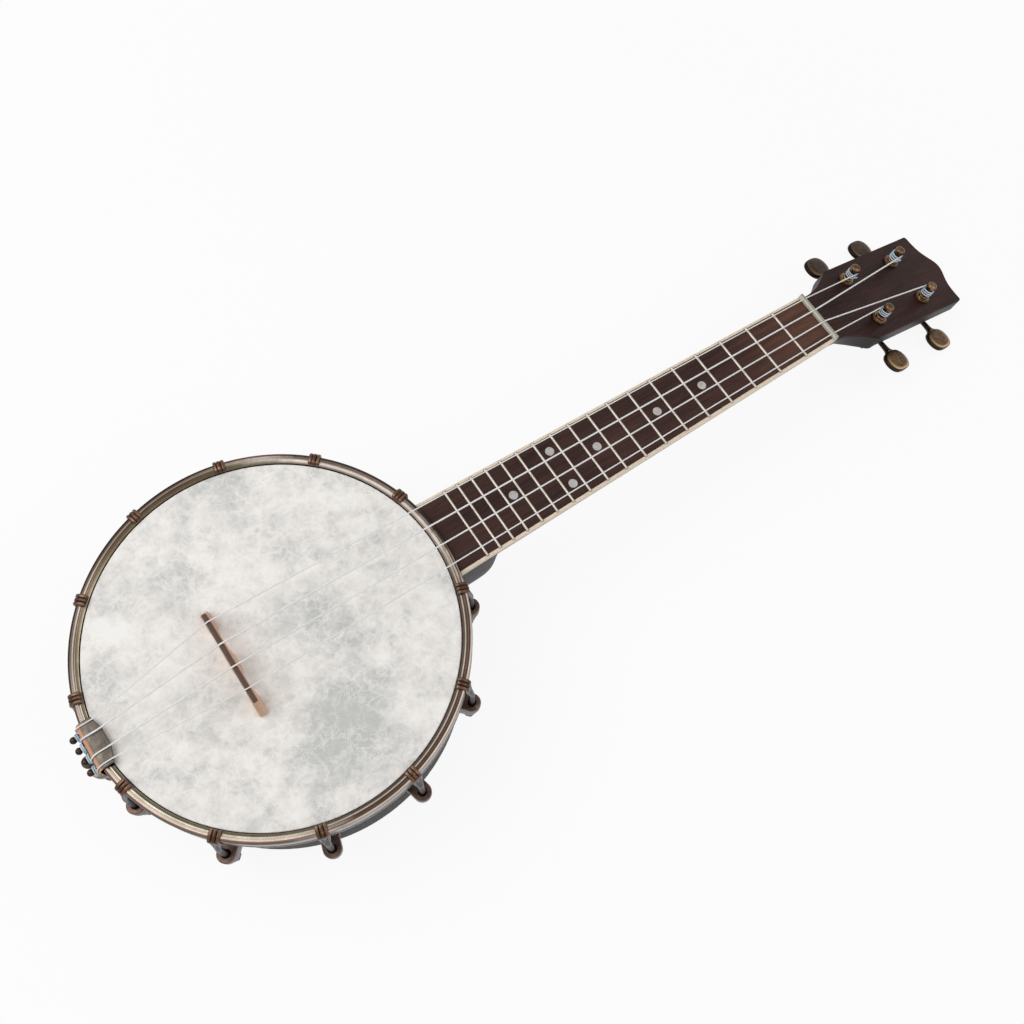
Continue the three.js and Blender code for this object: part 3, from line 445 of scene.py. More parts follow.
# Wood with its grain along X of a frame, or across X where across is the smaller, and a tone that can fade in
def wood(name, matrix, dark, light, pores, along, across, shine=0.1, rough=0.5, depth=0.05, tone=None):
    look = Look(name, Specular_IOR_Level=shine)
    figure = look.noise(look.place(matrix, (along, across * 0.3, across * 0.3)), 1, 4, 0.55, 0.6)
    streaks = look.noise(look.place(matrix, (along * 1.6, across * 2.4, across * 2.4)), 1, 5, 0.6, 0.2)
    fine = look.noise(look.place(matrix, (0.09, 3.6, 3.6)), 1, 3, 0.7)
    both = look.math("ADD", look.math("MULTIPLY", figure, 0.5), look.math("MULTIPLY", streaks, 0.5))
    base = look.ramp(both, (0.36, dark), (0.64, light))
    if tone:
        start, full, tint, gain = tone
        share = look.fade(look.split(look.place(matrix))[0], start, full)
        tint = (*[channel * gain for channel in rgba(tint)[:3]], 1)
        base = look.mix(share, base, look.tinted(base, tint))
    holes = look.ramp(fine, (0.3, 0.0), (0.44, 1.0))
    colour = look.mix(holes, look.tinted(base, pores), base)
    return look.closed(colour, (fine, (0.3, rough + 0.15), (0.6, rough)), holes, depth, 0.6)


# The hoop's colours from its inner edge to its outer one: at the left, the top, the neck and the foot. Their
# bright and dark bands, different at each side of the ring, are painted highlights and painted reflections
# over the metal's colour
HOOP_LEFT_PAINTED_REFLECTIONS = (
    (0.0, (70, 54, 46)), (0.11, (108, 96, 84)), (0.24, (124, 116, 100)), (0.36, (130, 129, 112)),
    (0.5, (240, 234, 218)), (0.63, (214, 199, 187)), (0.76, (146, 124, 114)), (0.89, (112, 94, 86)),
    (1.0, (112, 100, 96)),
)
HOOP_UPPER_PAINTED_REFLECTIONS = (
    (0.0, (60, 46, 37)), (0.08, (84, 70, 56)), (0.17, (168, 156, 134)), (0.3, (142, 125, 104)),
    (0.42, (112, 100, 88)), (0.49, (140, 128, 116)), (0.57, (206, 194, 182)), (0.64, (126, 112, 104)),
    (0.72, (80, 69, 63)), (0.8, (50, 42, 39)), (0.9, (36, 30, 28)), (1.0, (34, 28, 26)),
)
HOOP_NECK_PAINTED_REFLECTIONS = (
    (0.0, (70, 56, 48)), (0.11, (66, 54, 47)), (0.24, (178, 164, 154)), (0.36, (246, 236, 228)),
    (0.48, (208, 197, 190)), (0.56, (104, 94, 86)), (0.72, (68, 59, 53)), (0.89, (58, 50, 46)),
    (1.0, (54, 45, 41)),
)
HOOP_LOWER_PAINTED_REFLECTIONS = (
    (0.0, (78, 64, 56)), (0.08, (104, 90, 80)), (0.16, (74, 61, 53)), (0.23, (116, 103, 94)),
    (0.3, (84, 70, 61)), (0.38, (216, 202, 189)), (0.46, (132, 117, 107)), (0.55, (86, 72, 63)),
    (0.72, (62, 50, 44)), (0.8, (104, 89, 79)), (0.87, (228, 210, 196)), (1.0, (140, 129, 122)),
)
# Its walls below the crown: painted shade on the inner wall and a pale painted reflection on the outer side
HOOP_WALLS_PAINTED_LIGHT = (0.3, (74, 60, 52)), (0.7, (146, 141, 138))


# The hoop's metal with painted highlights, painted reflections and painted shade
def make_hoop_painted_reflections():
    look = Look("hoop_reflections_finish", Metallic=1.0)
    ring = look.round_place()
    radius, _, height = look.split(ring)
    share = look.fade(radius, HOOP_INNER, HOOP_OUTER)
    x, y, _ = look.split(look.place(POT))
    blotches = look.noise(ring, 0.12, 4, 0.55, 0.5)

    def towards(degrees, start, full):
        turn = radians(degrees)
        reach = look.math("ADD", look.math("MULTIPLY", x, cos(turn)), look.math("MULTIPLY", y, sin(turn)))
        return look.fade(look.math("ADD", reach, look.math("MULTIPLY", blotches, 16.0)), start, full)

    # Painted highlights and painted reflections, a different set at each side of the ring
    across = look.mix(towards(122, 58.0, 90.0), look.ramp(share, *HOOP_LEFT_PAINTED_REFLECTIONS), look.ramp(share, *HOOP_UPPER_PAINTED_REFLECTIONS))
    # The far side, towards +Y, is darkened: painted shade
    across = look.mix(towards(98, 86.0, 97.0), across, look.tinted(across, (0.5, 0.46, 0.42, 1)))
    across = look.mix(towards(26, 76.0, 94.0), across, look.ramp(share, *HOOP_NECK_PAINTED_REFLECTIONS))
    across = look.mix(towards(302, 60.0, 84.0), across, look.ramp(share, *HOOP_LOWER_PAINTED_REFLECTIONS))
    # Below the crown the inner wall takes painted shade and the outer side a pale painted reflection
    across = look.mix(look.fade(height, 0.4, -1.0), across, look.ramp(share, *HOOP_WALLS_PAINTED_LIGHT))
    lines = look.noise(look.round_place((2.2, 0.05, 2.2)), 1, 4, 0.6)
    aged = look.ramp(blotches, (0.35, (234, 232, 230)), (0.65, (255, 255, 255)))
    colour = look.tinted(look.tinted(across, look.ramp(lines, (0.3, 0.9), (0.7, 1.0))), aged)
    return look.closed(colour, (lines, (0.3, 0.36), (0.7, 0.3)), lines, 0.01, 0.3)


# The film's larger clouds: X, Y, radius and weight, dark ones first and then pale ones. Nearly all are print;
# the one at 88, -16, against the hoop by the neck, is painted shade
PRINT_AND_SHADE_CLOUDS = (
    (6, -56, 27, 0.13), (10, -64, 46, 0.05), (29, -6, 17, 0.05), (28, -14, 36, 0.05), (14, 92, 28, 0.085),
    (-24, 54, 17, 0.045), (-54, 60, 18, 0.03), (-78, 18, 22, 0.03), (-34, -75, 30, 0.022),
    # The first cloud on this line is painted shade, not print
    (88, -16, 14, 0.09), (2, 38, 34, -0.035), (-66, 46, 22, -0.045), (-14, -46, 18, -0.045),
    (-44, -44, 26, -0.02), (42, -78, 22, -0.03), (55, 40, 34, -0.015),
)


# The film's print: smudges crossed by pale fibres, gathered here and there into larger clouds, one of which
# is painted shade by the hoop at the neck
def make_skin_finish():
    look = Look("skin_finish", Specular_IOR_Level=0.25)
    place = look.place(POT)
    smudges = look.noise(place, 0.1, 8, 0.62, 0.3)
    felt = look.noise(place, 0.5, 6, 0.7, 0.5)
    drift = look.vector("SUBTRACT", look.noise(place, 0.09, 4.0, 0.6, output="Color"), (0.5, 0.5, 0.5))
    drift = look.vector("MULTIPLY", drift, (20, 20, 20))
    bent = look.vector("ADD", place, drift)
    fibres, spots = [], []
    for scale, width in ((0.15, 0.11), (0.06, 0.03), (0.28, 0.14)):
        cell = look.add("ShaderNodeTexVoronoi", {"Vector": bent, "Scale": scale}, feature="DISTANCE_TO_EDGE",
                        voronoi_dimensions="2D").outputs["Distance"]
        fibres.append(look.ramp(cell, (0.0, 1.0), (width, 0.0)))
        spots.append(look.ramp(cell, (width * 0.6, 0.0), (width * 2.6, 1.0)))
    net = look.math("MAXIMUM", fibres[0], fibres[1])
    net = look.math("MAXIMUM", net, look.math("MULTIPLY", fibres[2], 0.6))
    patchy = look.ramp(look.noise(place, 0.06, 4, 0.6), (0.4, 0.15), (0.56, 1.0))
    net = look.math("MULTIPLY", net, patchy)
    x, y, _ = look.split(look.vector("ADD", place, look.vector("MULTIPLY", drift, (0.5, 0.5, 0.5))))
    cloud = look.math("MULTIPLY", look.noise(place, 0.035, 4, 0.6, 0.5), 0.36)
    for across, up, size, weight in PRINT_AND_SHADE_CLOUDS:
        far = look.length(look.math("SUBTRACT", x, across), look.math("SUBTRACT", y, up))
        near = look.fade(far, size, size * 0.2, 0.0, weight, "SMOOTHSTEP")
        cloud = look.math("SUBTRACT", cloud, near)
    both = look.math("ADD", cloud, look.math("MULTIPLY", smudges, 0.4))
    both = look.math("ADD", both, look.math("MULTIPLY", felt, 0.2))
    spot = look.math("MULTIPLY", look.math("MULTIPLY", spots[0], patchy), 0.03)
    both = look.math("SUBTRACT", look.math("ADD", both, 0.035), spot)
    base = look.ramp(
        both, (0.38, (199, 200, 197)), (0.44, (216, 215, 211)), (0.49, (231, 228, 224)),
        (0.55, (243, 240, 235)), (0.6, (249, 247, 243)),
    )
    colour = look.mix(look.math("MULTIPLY", net, 0.52), base, (247, 244, 240))
    return look.closed(colour, (cloud, (0.3, 0.62), (0.7, 0.5)), felt, 0.05, 0.3)


def make_plain_finish(name, one, other, rough, scale=0.3, height=0.02):
    look = Look(name)
    place = look.place(POT)
    colour = look.ramp(look.noise(place, scale, 4, 0.6, 0.4), (0.35, one), (0.65, other))
    rough = look.noise(place, scale * 6, 3), (0.3, rough + 0.08), (0.7, rough)
    return look.closed(colour, rough, look.noise(place, scale * 9, 2), height)


# Frets: a painted highlight on top and painted shade, brown, on the flank toward the nut, set by the way the
# surface faces
def make_fret_painted_light():
    look = Look("fret_highlight_and_shade", Metallic=1.0, Roughness=0.42)
    lean = look.split(look.add("ShaderNodeNewGeometry").outputs["Normal"])[0]
    look.join(look.ramp(lean, (0.3, (182, 175, 166)), (0.62, (100, 78, 64))), "Base Color")
    return look.material


# Colours that change along X of a frame, with a fine cloud over them
def make_banded_finish(name, matrix, low, high, *stops):
    look = Look(name, Specular_IOR_Level=0.2)
    place = look.place(matrix)
    share = look.fade(look.split(place)[0], low, high)
    cloud = look.noise(place, 0.8, 4, 0.6, 0.4)
    colour = look.tinted(look.ramp(share, *stops), look.ramp(cloud, (0.35, 0.86), (0.65, 1.0)))
    return look.closed(colour, (cloud, (0.3, 0.5), (0.7, 0.4)), cloud)


# Nylon, faintly blue where it is wound at the pins and posts
def make_string_finish():
    look = Look("string_finish", Specular_IOR_Level=0.3)
    place = look.place(POT)
    wound = look.fade(look.split(place)[0], -98.5, -100.5)
    x, y, _ = look.split(look.place(HEAD))
    for along, across in (NEAR_POST, FAR_POST):
        dx = look.math("ABSOLUTE", look.math("SUBTRACT", x, along))
        dy = look.math("ABSOLUTE", look.math("SUBTRACT", look.math("ABSOLUTE", y), across))
        wound = look.math("MAXIMUM", wound, look.fade(look.math("MAXIMUM", dx, dy), 4.2, 3.2))
    cloud = look.noise(place, 0.2, 3, 0.6)
    base = look.ramp(cloud, (0.35, (228, 229, 228)), (0.65, (241, 241, 238)))
    colour = look.mix(wound, base, (198, 214, 225))
    return look.closed(colour, (cloud, (0.3, 0.42), (0.7, 0.34)), look.noise(place, 1.8, 2), 0.005)


HOOP = make_hoop_painted_reflections()
SKIN = make_skin_finish()
# The straps' ribs turn bright along their edges: wear and painted highlight
HOOK_COPPER = antique("hook_finish", (44, 33, 27), (76, 56, 45), (158, 124, 104), rough=0.3,
                      lower=(37, 33, 34), fade=(1.0, -3.0))
COPPER = antique("copper_finish", (38, 31, 28), (60, 48, 43), (122, 98, 84))
# The hook lugs go darker from their top down their sides: painted shade
SHOE_METAL_PAINTED_SHADE = antique("shoe_finish", (70, 56, 50), (98, 79, 71), (150, 122, 106), lower=(44, 36, 34),
                     fade=(-37.5, -44.0))
# Brass: its bright colour, on the patina and on the edges, is partly worn brass and partly a painted
# highlight sparkle on the flanges
BRASS = antique("brass_finish", (44, 33, 26), (88, 67, 50), (192, 154, 114), matrix=HEAD, rough=0.28,
                lower=(34, 27, 22), fade=(-9.0, -13.0))
# The same brass buttons in two copies: a darker one for the buttons at +Y as painted shade, and a brighter
# one at -Y as painted light
KNOB_PAINTED_SHADE = make_knob_painted_light("knob_painted_shade_finish", 1, (38, 30, 26), (76, 61, 50), (112, 90, 72), (34, 28, 25),
                             (44, 38, 34))
KNOB_PAINTED_LIGHT = make_knob_painted_light("knob_painted_light_finish", -1, (58, 44, 32), (110, 86, 62), (190, 158, 122),
                              (50, 40, 32), (66, 58, 50))
# The tail plate: painted highlights, as a brightening towards its outer bend (gain) and a pale copper line
# along the top of the bend (lower), and painted shade on the flap below (deep)
PLATE_PAINTED_LIGHT = antique("plate_painted_light_finish", (68, 63, 58), (84, 78, 72), (112, 100, 88), grain=(3, 0.12, 1),
                      rough=0.38, lower=(170, 130, 106), fade=(3.9, 3.2), deep=(46, 38, 35),
                      gain=(-96.5, -92.5, 1.7))
TAIL_METAL = antique("tail_shoe_finish", (96, 88, 78), (124, 115, 102), (156, 142, 124))
STEEL = antique("steel_finish", (96, 94, 92), (122, 120, 117), (160, 158, 154), rough=0.3)
ROD_STEEL = antique("rod_finish", (28, 26, 27), (40, 37, 39), (64, 60, 61), rough=0.42)
FLESH = antique("flesh_finish", (64, 64, 66), (84, 84, 86), (110, 110, 110))
RIM_WOOD = wood("rim_finish", POT, (58, 56, 56), (76, 73, 72), (200, 196, 194), 0.4, 0.06, 0.08, 0.55, 0.02)
NECK_WOOD = wood("neck_finish", NECK, (34, 30, 31), (52, 46, 46), (150, 140, 135), 0.012, 0.35, 0.18, 0.42,
                 0.02)
BOARD_WOOD = wood("board_finish", NECK, (48, 34, 32), (78, 54, 48), (140, 120, 115), 0.014, 0.22,
                  tone=(190.0, 262.0, (255, 252, 232), 2.0))
HEAD_WOOD = wood("veneer_finish", HEAD, (32, 18, 16), (59, 35, 29), (150, 130, 125), 0.03, 0.16, 0.1, 0.4,
                 0.02)
MAPLE = wood("maple_finish", POT, (206, 163, 136), (227, 190, 163), (238, 222, 206), 0.3, 0.03, 0.2)
CREAM = make_plain_finish("binding_finish", (226, 206, 180), (240, 224, 202), 0.35)
PEARL = make_plain_finish("dot_finish", (176, 172, 170), (204, 198, 194), 0.3, 0.6, 0.01)
FRET_PAINTED_LIGHT = make_fret_painted_light()
NYLON = make_string_finish()
# Across the bridge cap the colour turns from grey to red towards its +X side: a painted difference of light
# between its top and its side
EBONY = make_banded_finish(
    "ebony_finish", POT, BRIDGE_X - CAP_HALF, BRIDGE_X + CAP_HALF,
    (0.0, (92, 82, 74)), (0.4, (84, 74, 66)), (0.65, (88, 58, 50)), (1.0, (116, 72, 62)),
)
BONE = make_banded_finish(
    "nut_finish", NECK, NUT_X, NUT_X + NUT_WIDE, (0.0, (226, 220, 206)), (0.2, (196, 192, 176)),
    (0.4, (160, 160, 144)), (0.75, (168, 166, 150)), (0.9, (210, 200, 178)), (1.0, (200, 184, 160)),
)


# Pot
def make_pot():
    edge, ledge, shoulder, crown, middle = 1.2, -14, -3.2, 2.4, -40
    rim = lathe([
        (RIM_INNER, -RIM_DEPTH + edge), *arc(RIM_INNER + edge, -RIM_DEPTH + edge, edge, 200, 270, 4),
        *arc(RIM_OUTER - edge, -RIM_DEPTH + edge, edge, 270, 360, 5),
        (RIM_OUTER, middle), (RIM_OUTER, ledge), (BEARING, ledge), (BEARING, shoulder),
        *arc(BEARING - crown, shoulder, crown, 0, 90, 5), (RIM_INNER, shoulder), (RIM_INNER, middle),
    ], ring=True)
    piece("rim_wall", rim, POT, RIM_WOOD, "rim", ["pot_rim"])
    bend = 0.6
    collar = COLLAR + 1.3
    film = lathe([
        (0, -0.5), (40, -0.5), *arc(collar - bend, -bend, bend - 0.5, 90, 0, 4),
        (collar - 0.5, -12.7), (collar, -12.7), *arc(collar - bend, -bend, bend, 0, 90, 8), (40, 0), (0, 0),
    ])
    piece("head_film", film, POT, SKIN, "head", ["drum_head"])
    flesh = lathe([
        (COLLAR + 0.3, FLESH_BOTTOM), (FLESH_OUTER - 0.4, FLESH_BOTTOM), (FLESH_OUTER, FLESH_BOTTOM + 0.4),
        (FLESH_OUTER, FLESH_TOP - 0.4), (FLESH_OUTER - 0.4, FLESH_TOP), (COLLAR + 0.3, FLESH_TOP),
    ], ring=True)
    piece("flesh_ring", flesh, POT, FLESH, "flesh_hoop", ["flesh_hoop"])
    bore = HOOP_INNER + 0.7
    hoop = lathe([
        (bore, HOOP_BOTTOM), (bore, 0), (bore + 0.1, 0.3), (bore + 0.3, 0.42), (93.3, 0.38),
        (93.45, 0.6), (93.8, 0.85), (94.1, 1.25), (94.35, 1.5),
        (94.65, 1.5), (94.85, 1.35), *arc(96.3, 0.5, 1.6, 145, 0, 16, 1.125),
        (HOOP_OUTER, -3), (HOOP_OUTER, HOOP_BOTTOM + 0.5), (HOOP_OUTER - 0.5, HOOP_BOTTOM),
    ], 320, ring=True)
    piece("hoop_band", hoop, POT, HOOP, "hoop", ["tension_hoop"])
    end = RIM_INNER - 0.8
    rod = tube([(x, 0, -BRACE_DROP) for x in (-end - 0.5, -end, end, end + 0.5)], [3.6, 4, 4, 3.6], 32)
    nuts = [shifted(turned(hex_nut(6.4, 0, 4), 90, "Y"), x, 0, -BRACE_DROP) for x in (-end, end - 4)]
    stud = tube([(x, 0, -BRACE_DROP) for x in (-100.2, 108.5)], 2.9, 24)
    piece("brace_rod", merge(rod, stud, *nuts), POT, STEEL, "steel", ["coordinator_rod"])


# A hook: a ribbed strap over the hoop that narrows below it into the round rod
def make_strap():
    middle, low, half, steps = (HOOP_INNER + HOOP_OUTER) / 2, 0.1, HOOK_WIDTH / 2, 12
    inside = [(93.4, 1.0), (93.5, 1.6), (93.8, 2.15)]
    inside += arc(middle, low, HOOK_INSIDE, 106, 0, 14, 2.5 / HOOK_INSIDE)
    inside.append((middle + HOOK_INSIDE, TAPER_START))
    outside = [(92.85, 0.9), (92.9, 1.9), (93.3, 2.95)]
    outside += arc(middle, low, HOOK_OUTSIDE, 108, 0, 14, 3.7 / HOOK_OUTSIDE)
    outside.append((middle + HOOK_OUTSIDE, TAPER_START))
    ribs = mirrored([
        (1, 0.5), (0.93, 0.15), (0.78, 0), (0.5, 0), (0.42, 0.3), (0.34, 0.42), (0.26, 0.1), (0.1, 0),
    ])

    def section(x, z, outer_x, outer_z, depth_share):
        a, b = Vector((x, 0, z)), Vector((outer_x, 0, outer_z))
        out = (b - a).normalized()
        row = [a + Vector((0, half, 0)), a - Vector((0, half, 0))]
        return row + [b - out * depth * depth_share + Vector((0, half * share, 0)) for share, depth in ribs]

    rows = [section(*p, *q, 1) for p, q in zip(inside, outside)]
    angles = [radians(degrees) for degrees in [135, -135] + [100 * share for share, _ in ribs]]
    for share in [k / steps for k in range(1, steps + 1)]:
        blend = share * share * (3 - 2 * share)
        z = lerp(TAPER_START, TAPER_END, share)
        flat = section(middle + HOOK_INSIDE, z, middle + HOOK_OUTSIDE, z, min(1, 1.6 - 1.6 * share))
        centre, size = Vector((rod_place(TAPER_END), 0, z)), ROD + 0.04
        ring = [centre + Vector((cos(angle) * size, sin(angle) * size, 0)) for angle in angles]
        rows.append([p.lerp(q, blend) for p, q in zip(flat, ring)])
    return skin(rows)


def rod_place(z):
    return lerp(100.2, SHOE_CENTRE - 0.15, (z + 9) / -20)


def make_hook():
    rod = tube(smooth_path([
        (rod_place(TAPER_END + 2.5), 0, TAPER_END + 2.5), (rod_place(TAPER_END), 0, TAPER_END),
        (SHOE_CENTRE - 0.15, 0, -29), *[(SHOE_CENTRE, 0, z) for z in (-34, ROD_END + 0.6, ROD_END)],
    ], 4), [1.0, 1.1, 1.2, 1.4] + [ROD] * 17, 20)
    nut = shifted(hex_nut(3.2, -63.3, -57.3), SHOE_CENTRE - 0.6)
    return make_strap(), merge(rod, nut)


LUG_EDGES = {"bevel": 0.7, "bevel_angle": 45, "segments": 3}


# A round-ended lug against the rim, drawn in towards its foot, with a hole down through it
def make_lug(centre, radius, bottom):
    back, top = RIM_OUTER + 0.3, SHOE_TOP
    rows = []
    for share, drawn in ((0, 1.35), (0.25, 1.1), (0.45, 0.5), (0.6, 0.1), (0.7, 0), (1, 0)):
        size = radius - drawn
        row = [(back, -size - 0.6), (back + 1.2, -size), *arc(centre - drawn * 0.2, 0, size, -90, 90, 20),
               (back + 1.2, size), (back, size + 0.6)]
        rows.append([(x, y, lerp(bottom, top, share)) for x, y in row])
    bore = shifted(lathe([
        (0, bottom - 1), (1.8, bottom - 1), (1.8, top - 0.4), (2.15, top), (2.2, top + 0.5), (0, top + 0.5),
    ], 24), centre)
    return carve(skin(rows), bore)


def make_hooks():
    strap, rod = make_hook()
    lug = make_lug(SHOE_CENTRE, SHOE_RADIUS, SHOE_BOTTOM)
    middle, end = (SHOE_TOP + SHOE_BOTTOM) / 2, 81.3
    bolt = tube([(end, 0, middle), (RIM_OUTER + 0.6, 0, middle)], 2.5, 20)
    nut = shifted(turned(hex_nut(4.6, 0, 3.4), 90, "Y"), end, 0, middle)
    for i in range(HOOK_COUNT):
        angle = NECK_GAP / 2 + i * (2 * pi - NECK_GAP) / (HOOK_COUNT - 1)
        turn = POT @ Matrix.Rotation(angle, 4, "Z")
        node = f"{i + 1:02d}"
        for name, form, material, looks in (
            ("hook_strap", strap, HOOK_COPPER, {"sharp": 45}), ("hook_rod", rod, ROD_STEEL, {}),
            ("shoe_lug", lug, SHOE_METAL_PAINTED_SHADE, LUG_EDGES), ("shoe_bolt", merge(bolt, nut), STEEL, {}),
        ):
            piece(f"{name}_{node}", form, turn, material, "hooks", [f"{name[:4]}_{node}"], **looks)


# Tailpiece with its bolt and shoe, built towards -X
def make_tail():
    inner = FLAP_OUTER + PLATE
    outer, bottom, middle = inner - TAIL_THICK, -FLAP_LENGTH - PLATE, PLATE_TOP - TAIL_BEND
    half = PLATE_WIDTH / 2 - 0.4
    rows = []
    for y, shrink in mirrored([(half, 0.35), (half - 0.25, 0.1), (half - 0.6, 0), (6.5, 0), (5, 0)]):
        lip = lerp(-88.3, -90.6, max(abs(y) - 5, 0) / (half - 5))
        outline = [
            (lip, PLATE_TOP - 0.6), (lip - 0.25, PLATE_TOP - 0.15), (lip - 0.7, PLATE_TOP),
            *arc(outer + TAIL_BEND, middle, TAIL_BEND, 90, 180, 12),
            (outer, bottom + 1.2), (outer + 0.3, bottom), (inner, bottom),
            *arc(outer + TAIL_BEND, middle, TAIL_BEND - TAIL_THICK, 180, 90, 8),
            (lip, PLATE_TOP - TAIL_THICK),
        ]
        row = []
        for k, (x, z) in enumerate(outline):
            before, after = outline[k - 1], outline[(k + 1) % len(outline)]
            run = Vector((after[0] - before[0], after[1] - before[1])).normalized()
            row.append((x - run.y * shrink, y, z + run.x * shrink))
        rows.append(row)
    wide, narrow = 4.2, 3.2
    foot = prism([
        (inner - 0.3, -wide), (FLAP_OUTER, -wide), (FLAP_OUTER - 1.6, -narrow),
        *arc(-TAIL_CENTRE, 0, narrow, 270, 90, 16),
        (FLAP_OUTER - 1.6, narrow), (FLAP_OUTER, wide), (inner - 0.3, wide),
    ], bottom, -FLAP_LENGTH)
    piece("tail_plate", merge(skin(rows), foot), POT, PLATE_PAINTED_LIGHT, "tailpiece", ["tailpiece"])
    tip = PIN_LENGTH - 0.1
    pin = turned(lathe([
        (0, -1.2), (PIN_RADIUS, -1.2), (PIN_RADIUS, tip),
        *arc(0, tip + 1.3, 1.8, -45, 84, 12), (0, tip + 3.1),
    ], 24), -90, "Y")
    pins = [shifted(pin, FLAP_OUTER, (1.5 - k) * PIN_SPACING, -PIN_DROP) for k in range(4)]
    piece("tail_pins", merge(*pins), POT, COPPER, "hooks", ["tailpiece"])
    seat = -FLAP_LENGTH + 0.3
    bolt = shifted(lathe([
        (0, -60), (1.6, -60), (1.6, seat), (2.7, seat), (2.8, seat + 0.5), (2.5, seat + 1.4),
        (1.8, seat + 2.2), (0.9, seat + 2.7), (0, seat + 2.8),
    ], 28), -TAIL_CENTRE)
    nut = shifted(hex_nut(4.2, -57.3, -51.3), -TAIL_CENTRE)
    piece("tail_screw", merge(bolt, nut), POT, COPPER, "hooks", ["tail_bolt"])
    lug = turned(make_lug(TAIL_CENTRE, TAIL_RADIUS, TAIL_BOTTOM), 180)
    piece("tail_lug", lug, POT, TAIL_METAL, "hooks", ["tail_shoe"], **LUG_EDGES)


# Bridge
def make_bridge():
    half, top_half, top = BRIDGE_LENGTH / 2, BRIDGE_TOP / 2, BRIDGE_HEIGHT - CAP_HEIGHT - 0.5
    foot = 10
    arch_half = (BRIDGE_LENGTH - 3 * foot) / 4
    centre = (foot + 2 * arch_half) / 2
    outline = [(-half, 0)]
    for y in (-centre, centre):
        outline += [(y - arch_half, 0), *arc(y, 0, arch_half, 175, 5, 14, 9 / arch_half), (y + arch_half, 0)]
    edge = [(-half, 2.6), (0.4 - half, 3.4), (-top_half - 0.5, top - 0.8), (-top_half - 0.3, top)]
    outline += [(half, 0), *mirrored(edge)]
    body = skin([[(side * lerp(2.3, 1.5, z / top), y, z + 0.3) for y, z in outline] for side in (-1, 1)])
    place = POT @ Matrix.Translation((BRIDGE_X, BRIDGE_SHIFT, 0))
    piece("bridge_arches", body, place, MAPLE, "bridge", ["bridge_body"], bevel=0.2, bevel_angle=40)
    top, notch = BRIDGE_HEIGHT, BRIDGE_HEIGHT - 0.25
    outline = [(-top_half, top - CAP_HEIGHT), (-top_half, top)]
    groove = (-0.8, top), (-0.5, notch), (0.5, notch), (0.8, top)
    for i, wide in enumerate(STRINGS):
        y = SPREAD_BRIDGE * (i / 3 - 0.5) - BRIDGE_SHIFT
        outline += [(y + wide * share, z) for share, z in groove]
    outline += [(top_half, top), (top_half, top - CAP_HEIGHT)]
    cap = skin([[(x, y, z) for y, z in outline] for x in (-CAP_HALF, CAP_HALF)])
    piece("bridge_saddle", cap, place, EBONY, "ebony", ["bridge_cap"], bevel=0.12, bevel_angle=60)


# Neck: one skin from the heel to the end of the headstock
def board_half(x):
    return lerp(BOARD_POT, BOARD_NUT, x / NUT_X) / 2


def head_half(x):
    if x < SHOULDER:
        return lerp(BOARD_NUT / 2 - 0.3, SHOULDER_HALF, max(x / SHOULDER, 0) ** 2)
    return lerp(SHOULDER_HALF, HEAD_END_HALF, (x - SHOULDER) / (HEAD_LENGTH - SHOULDER))


# Where the headstock ends at a place across it: a bulge in the middle and rounded corners
def head_end(y):
    crown = (HEAD_CROWN - 0.4) * (exp(-(abs(y) / HEAD_END_HALF / 0.39) ** 2) - 0.0014)
    past = min(max(abs(y) - HEAD_END_HALF + HEAD_CORNER, 0), HEAD_CORNER)
    return HEAD_LENGTH + crown - HEAD_CORNER + sqrt(HEAD_CORNER ** 2 - past ** 2)


def smooth_max(a, b, reach):
    blend = max(reach - abs(a - b), 0)
    return max(a, b) + blend * blend / (4 * max(reach, 0.001))


NECK_ANGLES = [pi * (k / 48 - 0.5) for k in range(49)]


def neck_row(x):
    half = board_half(x) - 0.3
    row = []
    for angle in NECK_ANGLES:
        side, down = sin(angle), cos(angle)
        shaft = lerp(NECK_DEPTH_HEEL, NECK_DEPTH_NUT, x / NUT_X) * down
        gauge = side ** 4 + (max(x, 0) / HEEL_LENGTH) ** 7
        heel = HEEL_DEPTH * max(1 - gauge, 0) ** 0.25
        reach = 7 * min(1, 2 * down) if x < 60 else 0
        row.append(Vector((x, half * side, -BOARD - smooth_max(shaft, heel, reach))))
    return row


def head_row(x):
    depth = CORE_TOP - CORE_BOTTOM + 3.5 * exp(-(x / 12) ** 2)
    depth += 1.7 * min(max((x - 8) / 12, 0), 1, max((34.2 - x) / 4, 0))
    power = 2 / lerp(2, 14, min(max(x - 3, 0) / 25, 1) ** 1.5)
    half = head_half(x)
    row = []
    for angle in NECK_ANGLES:
        down = max(cos(angle), 0) ** power
        row.append(HEAD_IN_NECK @ Vector((x, half * squared(sin(angle), power), CORE_TOP - depth * down)))
    return row


